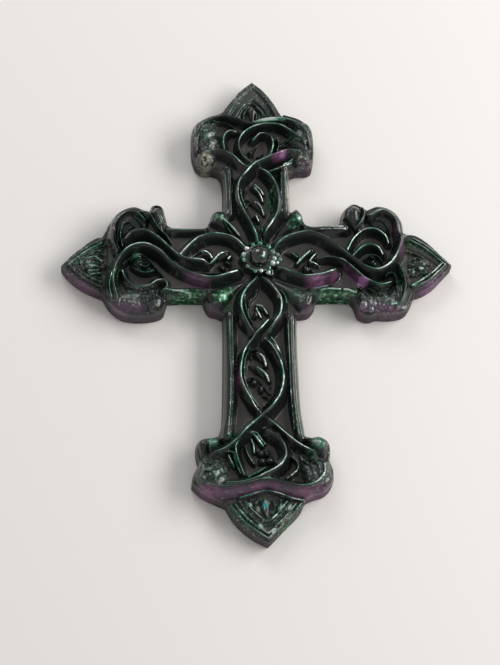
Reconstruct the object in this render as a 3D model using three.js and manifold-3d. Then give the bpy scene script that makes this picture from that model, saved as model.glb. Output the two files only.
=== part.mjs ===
// Celtic wall cross: one solid resin casting, flat at the back, with woven strands on the front.
// Units are millimetres. The casting is drawn in plan, x to the right, y up the cross and height
// towards the viewer, and the finished mesh is turned so that y becomes Z and the front faces -Y.
// The origin is on the flat back, behind the boss at the crossing.

import * as THREE from 'three';
import { mergeVertices } from 'three/addons/utils/BufferGeometryUtils.js';
import Module from 'manifold-3d';

const wasm = await Module();
wasm.setup();

// Heights above the wall
const WALL_EDGE = 5.2;        // where the upright side wall ends
const GROUND = 8;             // sunk ground between the strands
const TIP_FACE = 6.8;         // face of the four pointed ends
const ROOT = 4;               // strands, rims and rails start this deep inside the slab
const LEAF_ROOT = 6.8;        // leaves and balls bulge from this level
const RAIL = 11;              // crest of the rails along the arms
const CREST = 13.2;           // crest of an ordinary strand
const OVER = 14.2;            // crest where a strand passes over
const UNDER = 10.8;           // crest where it dips under
const RIM = 12.4;             // crest of the rims round the capitals
const COLLAR = 13.4;          // ring below the boss
const BOSS_TOP = 18.6;

// Sections of the raised forms: half width at the foot and at the crest
const STRAND = { foot: 3.3, crest: 0.6 };
const TAUT = { foot: 2.6, crest: 0.6 };
const SLIM = { foot: 2.1, crest: 0.45 };
const LINE = { foot: 1.3, crest: 0.3 };
const RAIL_BAR = { foot: 2.7, crest: 1.1 };
const RAIL_CORD = { foot: 2.5, crest: 0.5 };

// Slab and its side wall
const EDGE_INSET = 1.2;       // the front edge stands this far inside the back edge
const STEP = 4.2;             // length of one facet along a curve
const LONG_STEP = 12;         // along the nearly straight rails
const BORDER_STEP = 5.5;      // along the borders of the ends
const TIP_CUT = 20;           // tall enough to cut the ends down to their own face

// Boss at the crossing
const BOSS_RADIUS = 4.5;
const COLLAR_RADIUS = 7;
const BEAD_RADIUS = 1.1;
const BEAD_RING = 6.1;
const BEADS = 12;

// Outline of the back, clockwise from the top point. Each stretch is one smooth curve, and the
// corners and notches of the casting are where two stretches meet.
const OUTLINE = [
  // right side of the top end
  [[0, 84], [4.9, 80], [9.4, 74], [12.2, 68.8]],
  // top capital, right side, with its lower corner
  [[12.2, 68.8], [19.6, 66.2], [24.4, 61.6], [25.2, 52], [24.6, 46]],
  [[24.6, 46], [23.9, 43.6], [21.9, 42.5], [17.5, 42.3], [15, 41], [14.4, 37], [14.2, 22.8]],
  // upper right lobe between the arms
  [[14.2, 22.8], [16.6, 24.2], [18.9, 21.8], [19.9, 18], [22, 16.5], [28, 16.7], [33, 17]],
  // right capital: ball, then the big loop
  [[33, 17], [34.8, 19], [36, 23.6], [40.4, 26.8], [44, 25.4], [45.9, 24]],
  [[45.9, 24], [50.8, 25.8], [56.3, 24], [60.2, 19], [61, 13.2]],
  // right end
  [[61, 13.2], [65.6, 12.8], [70.4, 9.6], [75.2, 4.5], [80.2, -0.8]],
  [[80.2, -0.8], [76.6, -4.6], [72, -9.4], [67.4, -12.3], [63.8, -13.5]],
  // right capital, underside
  [[63.8, -13.5], [62.4, -17.2], [59.4, -21.4], [54, -22.9], [47.8, -22.8]],
  [[47.8, -22.8], [44.3, -23.8], [40.4, -22], [39, -18], [37.4, -15.4]],
  [[37.4, -15.4], [30, -15.2], [23.2, -15.4]],
  // lower right lobe
  [[23.2, -15.4], [22.6, -18.6], [20, -21.8], [17.6, -22.4], [15.2, -22.6]],
  // shaft, right side
  [[15.2, -22.6], [14.8, -30], [14.8, -50], [15.2, -64], [16.4, -74.6]],
  // bottom capital, right side: ball, then the side lobe
  [[16.4, -74.6], [18.6, -75.2], [21.4, -74.8], [25.2, -77], [26.1, -80.6], [25.4, -84.6]],
  [[25.4, -84.6], [26.9, -89], [26.6, -93.6], [23.4, -97.7], [18.6, -99.4], [15.4, -100.9]],
  // bottom end
  [[15.4, -100.9], [13.4, -105], [7.8, -110.8], [0.4, -118.4]],
  [[0.4, -118.4], [-6, -114.8], [-12, -109.2], [-16, -102.6]],
  // bottom capital, left side
  [[-16, -102.6], [-20.6, -100.4], [-25.4, -97.8], [-29, -94.2]],
  [[-29, -94.2], [-28.4, -90.2], [-26.2, -86]],
  [[-26.2, -86], [-27, -81.4], [-26.8, -77.4], [-24.6, -75.6], [-20.6, -75], [-18.2, -74.4]],
  // shaft, left side
  [[-18.2, -74.4], [-16.7, -69], [-16, -60], [-15.4, -44], [-15, -30], [-15, -23]],
  // lower left lobe
  [[-15, -23], [-17.4, -21.8], [-20.2, -21], [-22, -18.4], [-22.8, -15.5]],
  [[-22.8, -15.5], [-30, -15.4], [-37.2, -15.7]],
  // left capital, underside
  [[-37.2, -15.7], [-38, -18.4], [-39.4, -21.6], [-44, -23.2], [-50.8, -23.5], [-56, -22.4],
    [-60.6, -18.6], [-63.4, -13.6]],
  // left end
  [[-63.4, -13.6], [-68, -11.6], [-72.6, -9], [-77, -5.2], [-80.3, -0.8]],
  [[-80.3, -0.8], [-75.2, 4.4], [-70.4, 8.6], [-66, 11.5], [-63.5, 12]],
  // left capital: scroll, then the ball
  [[-63.5, 12], [-60.6, 17.6], [-56.6, 22.8], [-50.4, 25.4], [-46, 23.8], [-44.4, 23.4]],
  [[-44.4, 23.4], [-43.2, 25.5], [-41.2, 26.2], [-38.4, 24.8], [-37.3, 21], [-36.4, 16.8],
    [-34.4, 15.9]],
  // upper left lobe
  [[-34.4, 15.9], [-26, 15.4], [-21.4, 15.8], [-19.8, 18.4], [-18.4, 22], [-16, 23.4], [-13.8, 23]],
  // top capital, left side
  [[-13.8, 23], [-13.6, 36], [-14.6, 40.6], [-17.2, 42.4], [-22, 42.7], [-24.6, 44.8]],
  [[-24.6, 44.8], [-25.9, 49.4], [-26.1, 55.4], [-25.2, 62.4], [-20, 66.4], [-13.9, 68.8]],
  // left side of the top end
  [[-13.9, 68.8], [-9.6, 74.6], [-5, 80], [0, 84]],
];

// Where each pointed end starts: a point on its border with the capital, and its direction
const ENDS = [
  { at: [0, 63.6], out: [0, 1], half: 15 },
  { at: [61, 0], out: [1, 0], half: 15 },
  { at: [0, -95.4], out: [0, -1], half: 17 },
  { at: [-61.6, 0], out: [-1, 0], half: 15 },
];

// Strands, as points on their crest: x, y and the height of the crest there
const STRANDS = [
  // left arm
  { section: STRAND, path: [[-5.5, 5, 12.4], [-8.7, 8.2, CREST], [-11.2, 9.7, CREST],
    [-14.2, 10.6, CREST], [-17.4, 11, CREST], [-22.2, 10, CREST], [-24.4, 9.2, CREST],
    [-26.2, 7.7, CREST], [-28.6, 5.4, CREST], [-31.4, 2.4, 12.6], [-34, -1, UNDER]] },
  { section: STRAND, path: [[-54.2, 8.6, CREST], [-51.7, 11.4, CREST], [-46.4, 12.1, OVER],
    [-40.7, 8.8, OVER], [-36.5, 4.6, OVER], [-32.3, 0.9, OVER], [-29.4, 0, CREST], [-25.5, -0.5, CREST],
    [-22.8, -0.9, 12], [-21.3, -1.6, 10.4]] },
  { section: STRAND, path: [[-57.6, -16.5, 11.4], [-59.2, -8, 12.4], [-57.2, -0.7, CREST],
    [-52.4, 4.6, OVER], [-46.3, 6.1, OVER], [-40.3, 3.1, OVER], [-36.1, -1.1, CREST],
    [-32.5, -3.9, CREST], [-28.1, -6.3, CREST], [-20.1, -8.3, CREST], [-16.1, -7.9, CREST],
    [-12.2, -6.6, CREST], [-8.9, -5.1, 12]] },
  // right arm
  { section: STRAND, path: [[6.2, 4, 12], [7.8, 6.4, CREST], [9.6, 8.2, CREST], [11.8, 9.6, CREST],
    [14.8, 10.8, CREST], [18.8, 11.8, CREST], [21.3, 11.8, CREST], [25.7, 10.4, CREST],
    [29.7, 7.6, CREST], [33.7, 4.4, CREST], [37.6, 0.4, OVER], [43.8, -4.2, OVER], [48.4, -5.3, OVER],
    [53.6, -2.4, OVER], [57.2, 3.4, OVER], [58.8, 11.4, OVER], [56.8, 18.4, CREST], [51.6, 21.6, CREST],
    [47, 19.6, 12]] },
  { section: STRAND, path: [[7.8, -3.8, 12], [9.8, -4.7, CREST], [12.4, -5.9, CREST],
    [14.8, -6.7, CREST], [18.4, -7.7, CREST], [23.7, -7.3, CREST], [26.7, -6.7, CREST],
    [29.1, -5.7, CREST], [31.2, -4.6, 12]] },
  { section: SLIM, path: [[24.4, 0.6, 10.6], [28.4, 0.9, 12.4], [32.4, -0.1, CREST],
    [34.3, -0.8, CREST], [36.1, -2.2, CREST], [39.5, -5.5, CREST], [43.4, -9.1, CREST],
    [49.2, -11.6, CREST], [53.6, -10.2, 12]] },
  { section: SLIM, path: [[36.4, 3.9, 12.6], [39.2, 8.8, CREST], [43.8, 12.7, CREST], [48.4, 13, CREST],
    [52.4, 10.2, 12.4], [53.6, 7.6, 11]] },
  { section: SLIM, path: [[38.6, 1.4, 12.4], [42.4, 5.1, 12.8], [46, 6.3, 12.8], [49.2, 5.2, 12.2],
    [51, 2.6, 11]] },
  { section: SLIM, path: [[57.4, -2.2, 12], [59, -7, 12.4], [59.3, -12, 12.2], [58, -17, 11.4],
    [55.6, -20, 10.4]] },
  // top arm, the two strands that part into the capital
  { section: STRAND, path: [[-0.2, 7.6, 12], [-1.2, 11.8, CREST], [-3.2, 16.6, CREST],
    [-5.6, 21.4, CREST], [-7.4, 26.3, CREST], [-7.8, 28.9, CREST], [-7.3, 33.8, CREST],
    [-6.2, 36.3, CREST], [-3.9, 38.6, OVER], [-0.8, 42.2, OVER], [4, 44.8, OVER], [9, 47.2, OVER],
    [13.4, 49.2, CREST], [18.6, 49.3, 12]] },
  { section: STRAND, path: [[2.8, 11.6, 11.4], [3.6, 13, 12.4], [6, 16.4, CREST], [8.2, 20.6, CREST],
    [9.1, 26, CREST], [8.8, 28.9, CREST], [7.6, 34.5, CREST], [4.6, 38.9, CREST], [0.6, 41.8, UNDER],
    [-4.6, 43.2, UNDER], [-9.8, 46.9, CREST], [-14.8, 48.9, CREST], [-20.4, 48.8, 12]] },
  { section: SLIM, path: [[-1.4, 44.2, UNDER], [-5.6, 47.4, 12.6], [-6.8, 51.6, CREST],
    [-5.4, 56, CREST], [-1.8, 59.3, CREST], [4, 61.3, CREST], [10.6, 61, CREST], [15, 58.6, 12.8],
    [18.6, 56.2, 12]] },
  { section: SLIM, path: [[-0.6, 54.6, 11], [2.6, 57.4, 12], [6.2, 56.4, 12.6], [7.6, 52.8, 12.6],
    [6.8, 48.8, 12], [5.2, 46, UNDER]] },
  { section: SLIM, path: [[-7.4, 58.4, 11], [-10.2, 58.6, 12], [-12.3, 56.8, 12.4], [-13.1, 53.6, 12.2],
    [-12.7, 50.6, 11]] },
  // shaft: one strand down the left and across at the foot, one down the right, and one that
  // starts inside the first crossing and runs down the left of the lower opening
  { section: STRAND, path: [[-1, -8, 12], [-2.4, -9.9, CREST], [-4.8, -12.4, CREST],
    [-6.6, -15.2, CREST], [-7.7, -18.5, CREST], [-7.8, -21.5, CREST], [-7.1, -24.5, CREST],
    [-6, -27.1, 12.8], [-3.3, -31, UNDER], [0.4, -34, UNDER], [3.3, -36.9, 12.4], [4.8, -39.6, CREST],
    [6.4, -42.8, CREST], [7.4, -45.8, CREST], [8, -49.8, CREST], [8, -52.8, CREST], [7.4, -55.8, CREST],
    [6.4, -58.8, CREST], [4.4, -62.2, OVER], [2.2, -65, OVER], [-2.3, -69, OVER], [-7, -73.2, OVER],
    [-11.6, -77.8, CREST], [-16, -81, 12.4], [-20, -82, 11]] },
  { section: STRAND, path: [[1.2, -8.2, 12], [2.3, -9.3, CREST], [4.4, -11.3, CREST],
    [6.4, -14.1, CREST], [7.8, -16.5, CREST], [8.4, -18.9, CREST], [8.3, -21.9, CREST],
    [7.6, -24.7, CREST], [6.1, -26.9, CREST], [4.4, -29.4, CREST], [2.5, -31.7, 12.8],
    [0.4, -33.7, 12]] },
  { section: TAUT, path: [[2.7, -27.4, 13.4], [0.3, -30.4, OVER], [-2.3, -33.1, OVER], [-4.2, -36, 14],
    [-7.1, -40.4, 13.4], [-8.4, -45, CREST], [-8.9, -49.5, CREST], [-8.6, -52.7, CREST],
    [-7.3, -56.5, CREST], [-5.4, -60.3, CREST], [-3.4, -64.1, 12.6], [-0.6, -66.6, UNDER],
    [3.8, -70.2, UNDER], [7.8, -75, CREST], [13, -79.5, CREST], [18.6, -82, 11.4]] },
  // ring in the bottom capital, with its tail along the rim
  { section: SLIM, path: [[-8.7, -91.5, 11], [-9.6, -89.4, 12], [-10.7, -86.3, 12.4],
    [-11.6, -82.6, 12.4], [-11.6, -79.8, 12.4], [-9.2, -76.6, 12], [-6.5, -74.9, 11.6],
    [-4.5, -74, 11.2]] },
  { section: STRAND, path: [[0.7, -73.6, 12], [3.2, -75.3, CREST], [5.6, -77.1, CREST],
    [7.1, -79.6, CREST], [7.9, -82.9, CREST], [7.4, -85.4, CREST], [5.9, -87.7, CREST],
    [3.8, -89.4, CREST], [-0.2, -91.5, CREST], [-3.6, -93, 12.6], [-9.4, -94.6, 12],
    [-15.4, -94.6, 11]] },
  // scrolls of the left capital
  { section: SLIM, path: [[-57.4, 3.4, 12], [-59.2, 9.4, 12.2], [-58.8, 15, 12.2], [-56.4, 19.2, 12.2],
    [-52.4, 21.3, 12.2], [-48.8, 20.8, 11.8], [-46.2, 18.2, 11]] },
  { section: LINE, path: [[-55.2, 6, 11], [-56, 11, 12], [-54.7, 15.6, 12], [-52.4, 16.8, 11.6],
    [-50.2, 15.2, 10.6]] },
  { section: LINE, path: [[-55.2, -2.2, 11.4], [-52.6, 0.1, 12], [-50, 2, 12.3], [-47.2, 1.6, 12.2],
    [-44, -1.4, 12.2], [-42.2, -3.6, 12], [-40.4, -5.7, 11.8], [-39, -7.2, 11.2]] },
  { section: LINE, path: [[-51.6, -2.9, 11.4], [-49.6, -4.7, 12], [-47.4, -5.8, 12.2],
    [-45, -5.9, 12.2], [-42.6, -4.9, 11.8]] },
  { section: SLIM, path: [[-55.4, -4.6, 11], [-54.2, -8.2, 11.8], [-51.4, -11.2, 12],
    [-47.8, -12.2, 12], [-44.2, -11.2, 12], [-41.6, -9.4, 11.8], [-38.4, -9, 11.6], [-37.4, -11.2, 11],
    [-39.8, -13.8, 10.4]] },
];

// Rims between a capital and its pointed end
const RIMS = [
  { section: SLIM, path: [[-23.6, 58, 11.4], [-22, 63, RIM], [-14, 65.6, RIM], [-6.4, 64, RIM],
    [-2, 62, RIM], [2.6, 63.2, RIM], [8, 64.3, RIM], [14, 64, RIM], [20, 60.8, RIM],
    [22.4, 56, 11.4]] },
  { section: STRAND, path: [[-24.6, -87.6, 11.4], [-25, -92, RIM], [-22.4, -95.4, RIM],
    [-16.6, -96.4, RIM], [-8, -95.4, RIM], [0, -93.4, RIM], [8, -95.4, RIM], [14.8, -96.4, RIM],
    [20, -94.6, RIM], [22.8, -91, RIM], [23, -87.4, 11.4]] },
];

// Rails along the edges of the arms
const RAILS = [
  // top arm
  { section: RAIL_BAR, step: LONG_STEP, path: [[-11.6, 21, RAIL], [-11.6, 30, RAIL],
    [-11.8, 41, RAIL]] },
  { section: RAIL_BAR, step: LONG_STEP, path: [[11.9, 21, RAIL], [11.9, 30, RAIL],
    [12.1, 41.5, RAIL]] },
  // side arms
  { section: RAIL_CORD, step: LONG_STEP, path: [[-37, 13.4, RAIL], [-28, 13.4, RAIL],
    [-22, 13.6, RAIL]] },
  { section: RAIL_CORD, step: LONG_STEP, path: [[-38.4, -13.6, RAIL], [-30, -13.6, RAIL],
    [-21, -13.4, RAIL]] },
  { section: RAIL_BAR, step: LONG_STEP, path: [[20.4, 14.4, RAIL], [28, 14.4, RAIL],
    [36, 14.4, RAIL]] },
  { section: RAIL_CORD, step: LONG_STEP, path: [[21, -13.4, RAIL], [30, -13.5, RAIL],
    [39, -13.6, RAIL]] },
  // shaft
  { section: RAIL_BAR, step: LONG_STEP, path: [[-12.5, -24, RAIL], [-12.8, -44, RAIL],
    [-13.4, -62, RAIL], [-15, -76, RAIL]] },
  { section: RAIL_BAR, step: LONG_STEP, path: [[12.2, -25, RAIL], [12.3, -44, RAIL], [12.7, -62, RAIL],
    [14.2, -76, RAIL]] },
];

// Borders on the faces of the pointed ends
const BORDERS = [
  { section: LINE, step: BORDER_STEP, path: [[-10.6, 67.6, 8.2], [-7.4, 73.4, 8.2], [-3.6, 78, 8.2],
    [0, 81, 8.2]] },
  { section: LINE, step: BORDER_STEP, path: [[9.6, 67.6, 8.2], [7, 73.4, 8.2], [3.6, 78, 8.2],
    [0, 81, 8.2]] },
  { section: LINE, step: BORDER_STEP, path: [[-7.4, 67, 8], [-4.6, 71.6, 8], [0, 75.4, 8],
    [4.4, 71.6, 8], [7, 67, 8]] },
  { section: LINE, step: BORDER_STEP, path: [[63.4, 10, 8.2], [69, 6.6, 8.2], [74.4, 1.6, 8.2],
    [77, -0.8, 8.2]] },
  { section: LINE, step: BORDER_STEP, path: [[63.4, -10.6, 8.2], [69, -8.2, 8.2], [74, -3.8, 8.2],
    [77, -0.8, 8.2]] },
  { section: LINE, step: BORDER_STEP, path: [[-63.4, 9, 8.2], [-69.4, 5.6, 8.2], [-74.4, 1.6, 8.2],
    [-77, -0.8, 8.2]] },
  { section: LINE, step: BORDER_STEP, path: [[-63.4, -10.6, 8.2], [-69, -8, 8.2], [-74, -3.8, 8.2],
    [-77, -0.8, 8.2]] },
  { section: LINE, step: BORDER_STEP, path: [[-12.4, -102.6, 8.2], [-8, -108.2, 8.2],
    [0.2, -114.6, 8.2]] },
  { section: LINE, step: BORDER_STEP, path: [[11.4, -102.6, 8.2], [7.6, -107.2, 8.2],
    [0.2, -114.6, 8.2]] },
  { section: LINE, step: BORDER_STEP, path: [[-8.4, -101.6, 8], [-4.6, -106, 8], [0, -109.4, 8],
    [4.4, -106, 8], [8, -101.6, 8]] },
];

// Round-ended leaves: head and tail in plan, half width of the head, height of the back of the leaf
const LEAVES = [
  // four lobes between the arms
  { head: [-15.6, 18.4], tail: [-6.6, 8.8], half: 4.4, top: 12.4 },
  { head: [15.6, 18.8], tail: [6, 8.6], half: 4.2, top: 12.4 },
  { head: [-17.4, -16.8], tail: [-8.2, -10], half: 5, top: 12.2 },
  { head: [17.6, -17], tail: [8, -10], half: 5.2, top: 12.2 },
  // balls of the capitals
  { head: [-40.8, 20.6], tail: [-38.8, 10.6], half: 3.4, top: 13 },
  { head: [39.6, 20.6], tail: [42.2, 11.6], half: 4.6, top: 13 },
  { head: [43.6, -18.2], tail: [40.8, -10.6], half: 4.2, top: 12 },
  { head: [-42.6, -18.2], tail: [-44.6, -11.4], half: 4.2, top: 11.4 },
  { head: [-21.6, -79.2], tail: [-23.6, -84], half: 4.2, top: 13.4 },
  { head: [21, -79.4], tail: [22.4, -85], half: 4.6, top: 13.4 },
  { head: [-20.6, 46], tail: [-22, 54], half: 4.4, top: 12.6 },
  { head: [19.8, 46], tail: [21, 54], half: 4.2, top: 11.8 },
  // leaves that fill the side fields of the capitals
  { head: [-19.6, 57.6], tail: [-14, 51], half: 5, top: 12.2 },
  { head: [17.2, 54.6], tail: [11.4, 52.8], half: 3.8, top: 12 },
  { head: [-21, -90.4], tail: [-13.6, -86], half: 5, top: 11.8 },
  { head: [18, -91], tail: [14, -83.4], half: 4.4, top: 11.8 },
  { head: [-50.8, -18.4], tail: [-53.6, -9], half: 4.4, top: 10.6 },
  { head: [52.4, -17.4], tail: [47.6, -13.6], half: 4, top: 10.6 },
  { head: [-48.2, -1.4], tail: [-39.6, -6], half: 4, top: 11.7 },
  // left arm
  { head: [-13.4, 2.6], tail: [-25.8, -4.2], half: 2.1, top: 11.2 },
  { head: [-21, 3.1], tail: [-26.8, 1.8], half: 2.6, top: 11 },
  // right arm
  { head: [21.6, 4], tail: [12, -3.2], half: 2, top: 11.2 },
  { head: [15, 2.2], tail: [10, 3.9], half: 1.9, top: 10.8 },
  { head: [21.6, -1], tail: [25.8, -3.2], half: 1.8, top: 10.6 },
  { head: [46.4, -1.4], tail: [43.4, -0.2], half: 1.9, top: 12.2 },
  // top arm
  { head: [-0.4, 32.6], tail: [3.2, 26.6], half: 2.1, top: 11.2 },
  { head: [-0.8, 26], tail: [3, 20.2], half: 2, top: 11 },
  { head: [-2.2, 27], tail: [-3.6, 28.2], half: 1.5, top: 10 },
  { head: [-0.3, 19.6], tail: [1.4, 15.6], half: 1.4, top: 10.6 },
  { head: [-1.6, 49], tail: [1.2, 52.6], half: 1.7, top: 10.8 },
  { head: [1.8, 47.2], tail: [3.8, 49.6], half: 1.3, top: 10.4 },
  // shaft
  { head: [-0.2, -20.4], tail: [3.7, -24], half: 1.6, top: 10.6 },
  { head: [-1.2, -41.2], tail: [2.2, -46.6], half: 2.4, top: 11.2 },
  { head: [-1.6, -47.6], tail: [3.9, -53.8], half: 2.2, top: 11 },
  { head: [-2.2, -47.2], tail: [-5.6, -45.6], half: 1.9, top: 10.6 },
  // ring of the bottom capital
  { head: [-3.2, -76], tail: [-0.2, -80.8], half: 1.5, top: 11.2 },
  // buds on the pointed ends
  { head: [-0.4, 69.4], tail: [-0.2, 65.6], half: 2, top: 8.8 },
  { head: [67.4, -0.4], tail: [63, -0.4], half: 2.2, top: 8.8 },
  { head: [-68, -0.6], tail: [-63, -0.6], half: 3, top: 8.8 },
  { head: [-0.4, -102.6], tail: [0, -107], half: 2, top: 8.8 },
];

// Small ovals in the weave: centre, half lengths, turn in degrees and height
const OVALS = [
  { at: [-12.6, -1.2], half: [2, 1.2], turn: -30, top: 10.8 },
  { at: [-15, -3.4], half: [2, 1.2], turn: -40, top: 10.8 },
  { at: [19.3, -3.8], half: [1.8, 2.2], turn: 20, top: 10.8 },
  { at: [-1.9, -23.8], half: [1.3, 2.1], turn: -20, top: 10.4 },
  { at: [-3.5, -52.9], half: [1.6, 1.9], turn: -25, top: 10.6 },
  { at: [-0.8, -55.8], half: [1.3, 2.1], turn: 0, top: 10.6 },
  { at: [0.8, -58.8], half: [1.4, 0.8], turn: -15, top: 10 },
  { at: [-4.3, -42.2], half: [0.8, 1.2], turn: -10, top: 9.4 },
  { at: [2.9, -54.8], half: [0.5, 0.5], turn: 0, top: 9.2 },
  { at: [-1.8, -82.6], half: [1.8, 1.7], turn: 0, top: 11 },
  { at: [0.5, -82.8], half: [1.3, 1.3], turn: 0, top: 10.8 },
  { at: [-1.4, -85.9], half: [1.9, 1.8], turn: 0, top: 11 },
  { at: [1.6, -85.7], half: [2.2, 1.7], turn: 10, top: 11 },
];

// A curve through plan points, sampled in facets of about the same length
function trace(points, step = STEP) {
  const marks = points.map(([x, y, z = 0]) => new THREE.Vector3(x, y, z));
  const curve = new THREE.CatmullRomCurve3(marks, false, 'centripetal');
  const count = Math.max(2, Math.ceil(curve.getLength() / step));
  return curve.getSpacedPoints(count);
}

// A closed three.js geometry as a solid for joining and cutting
function solid(geometry) {
  const bare = geometry.clone();
  bare.deleteAttribute('normal');
  bare.deleteAttribute('uv');
  const merged = mergeVertices(bare, 1e-4);
  return new wasm.Manifold(new wasm.Mesh({
    numProp: 3,
    vertProperties: new Float32Array(merged.attributes.position.array),
    triVerts: new Uint32Array(merged.index.array),
  }));
}

// Outline of the whole casting as one closed shape
function castingShape() {
  const rim = OUTLINE.flatMap((stretch) => trace(stretch).slice(0, -1));
  return new THREE.Shape(rim.map((p) => new THREE.Vector2(p.x, p.y)));
}

// Slab with an upright side wall and a bevelled front edge
function slab(shape) {
  const rise = GROUND - WALL_EDGE;
  const body = new THREE.ExtrudeGeometry(shape, {
    depth: WALL_EDGE, bevelEnabled: true, bevelThickness: rise, bevelSize: EDGE_INSET,
    bevelOffset: -EDGE_INSET, bevelSegments: 1, steps: 1,
  });
  const behind = new THREE.BoxGeometry(400, 400, 20).translate(0, 0, -10);
  return solid(body).subtract(solid(behind));
}

// Everything in front of the face of a pointed end
function endCut({ at, out, half }) {
  const block = new THREE.BoxGeometry(40, 2 * half, TIP_CUT).translate(20, 0, TIP_FACE + TIP_CUT / 2);
  block.rotateZ(Math.atan2(out[1], out[0]));
  return solid(block.translate(at[0], at[1], 0));
}

// A raised strand: a straight bar in facets, bent along its path and cut to its crest height
function strand({ section, path, step }) {
  const points = trace(path, step);
  const last = points.length - 1;
  const profile = new THREE.Shape([
    new THREE.Vector2(-section.foot, 0), new THREE.Vector2(section.foot, 0),
    new THREE.Vector2(section.crest, 1), new THREE.Vector2(-section.crest, 1),
  ]);
  const bar = new THREE.ExtrudeGeometry(profile, { depth: last, steps: last, bevelEnabled: false });
  const place = bar.attributes.position;
  for (let i = 0; i < place.count; i += 1) {
    const k = Math.round(place.getZ(i));
    const before = points[Math.max(k - 1, 0)];
    const after = points[Math.min(k + 1, last)];
    const along = new THREE.Vector2(after.x - before.x, after.y - before.y).normalize();
    const side = place.getX(i);
    const height = ROOT + place.getY(i) * (points[k].z - ROOT);
    place.setXYZ(i, points[k].x - along.y * side, points[k].y + along.x * side, height);
  }
  return solid(bar);
}

// A leaf: a ball drawn out towards its tail
function leaf({ head, tail, half, top }) {
  const reach = Math.hypot(tail[0] - head[0], tail[1] - head[1]);
  const large = half > 3;
  const ball = new THREE.SphereGeometry(1, large ? 8 : 6, large ? 6 : 5).rotateZ(-Math.PI / 2);
  const place = ball.attributes.position;
  for (let i = 0; i < place.count; i += 1) {
    const s = place.getX(i);
    const stretch = s > 0 ? half * s + reach * s * s : half * s;
    const waist = s > 0 ? 1 - 0.55 * s : 1;
    const rise = (top - LEAF_ROOT) * waist;
    place.setXYZ(i, stretch, place.getY(i) * half * waist, place.getZ(i) * rise + LEAF_ROOT);
  }
  ball.rotateZ(Math.atan2(tail[1] - head[1], tail[0] - head[0]));
  return solid(ball.translate(head[0], head[1], 0));
}

// A small oval: half of an ellipsoid, turned in plan
function oval({ at, half, turn, top }) {
  const ball = new THREE.SphereGeometry(1, 6, 4).rotateX(Math.PI / 2);
  ball.scale(half[0], half[1], top - LEAF_ROOT).rotateZ(THREE.MathUtils.degToRad(turn));
  return solid(ball.translate(at[0], at[1], LEAF_ROOT));
}

// Boss: a dome on a ring, turned on the lathe
function boss() {
  const profile = [
    [0, ROOT], [COLLAR_RADIUS, ROOT], [COLLAR_RADIUS, COLLAR - 1.6], [COLLAR_RADIUS - 1.2, COLLAR],
    [BOSS_RADIUS, COLLAR],
  ].map(([r, z]) => new THREE.Vector2(r, z));
  const rise = BOSS_TOP - COLLAR;
  for (let k = 1; k <= 4; k += 1) {
    const turn = (k / 4) * Math.PI / 2;
    const radius = k === 4 ? 0 : BOSS_RADIUS * Math.cos(turn);
    profile.push(new THREE.Vector2(radius, COLLAR + rise * Math.sin(turn)));
  }
  return solid(new THREE.LatheGeometry(profile, 16).rotateX(Math.PI / 2));
}

// Beads round the boss
function beads() {
  const ring = [];
  for (let k = 0; k < BEADS; k += 1) {
    const turn = (k / BEADS) * 2 * Math.PI;
    const bead = new THREE.SphereGeometry(BEAD_RADIUS, 6, 4).rotateX(Math.PI / 2);
    ring.push(solid(bead.translate(BEAD_RING * Math.cos(turn), BEAD_RING * Math.sin(turn), COLLAR)));
  }
  return ring;
}

function casting() {
  const shape = castingShape();
  // raised work may not stand out past the outline
  const within = solid(new THREE.ExtrudeGeometry(shape, { depth: 30, bevelEnabled: false }));
  let body = slab(shape);
  for (const end of ENDS) body = body.subtract(endCut(end));
  const raised = [
    ...STRANDS.map(strand), ...RIMS.map(strand), ...RAILS.map(strand), ...BORDERS.map(strand),
    ...LEAVES.map(leaf), ...OVALS.map(oval), boss(), ...beads(),
  ];
  const relief = wasm.Manifold.union(raised).intersect(within);
  return body.add(relief);
}

const mesh = casting().getMesh();
const geometry = new THREE.BufferGeometry();
geometry.setAttribute('position', new THREE.BufferAttribute(new Float32Array(mesh.vertProperties), 3));
geometry.setIndex(new THREE.BufferAttribute(new Uint32Array(mesh.triVerts), 1));
geometry.computeVertexNormals();

const darkResin = new THREE.MeshStandardMaterial({ color: 0x1d2423, roughness: 0.22, metalness: 0.35 });
const cross = new THREE.Mesh(geometry, darkResin);
cross.name = 'cross_casting';

// plan to upright: the back lies on the plane y = 0 and the front faces -Y
cross.rotation.x = Math.PI / 2;

const part = new THREE.Group();
part.add(cross);
export default part;
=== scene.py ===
# A celtic wall cross, cast in one piece of dark resin with a green and violet pigment.
# The relief is drawn in plan, in millimetres: x to the right, y up the cross, height off the wall.
# The finished meshes are in metres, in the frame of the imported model, where the front faces -Y.

import math
import bmesh
import bpy
import numpy as np
from mathutils import Matrix, Vector


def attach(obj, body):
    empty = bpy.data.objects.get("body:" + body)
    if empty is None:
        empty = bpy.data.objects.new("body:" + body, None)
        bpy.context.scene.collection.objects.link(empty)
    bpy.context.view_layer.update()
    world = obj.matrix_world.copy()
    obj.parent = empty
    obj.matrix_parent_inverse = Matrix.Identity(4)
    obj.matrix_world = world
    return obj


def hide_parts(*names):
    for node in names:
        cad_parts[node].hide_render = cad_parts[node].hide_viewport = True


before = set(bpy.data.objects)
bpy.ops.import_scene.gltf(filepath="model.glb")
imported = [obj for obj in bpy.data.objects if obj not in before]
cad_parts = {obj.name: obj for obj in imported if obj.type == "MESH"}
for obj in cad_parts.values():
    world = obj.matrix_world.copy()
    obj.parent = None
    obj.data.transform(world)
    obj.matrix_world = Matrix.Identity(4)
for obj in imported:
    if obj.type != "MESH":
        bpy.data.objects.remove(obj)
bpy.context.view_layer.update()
scene = bpy.context.scene

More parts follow.
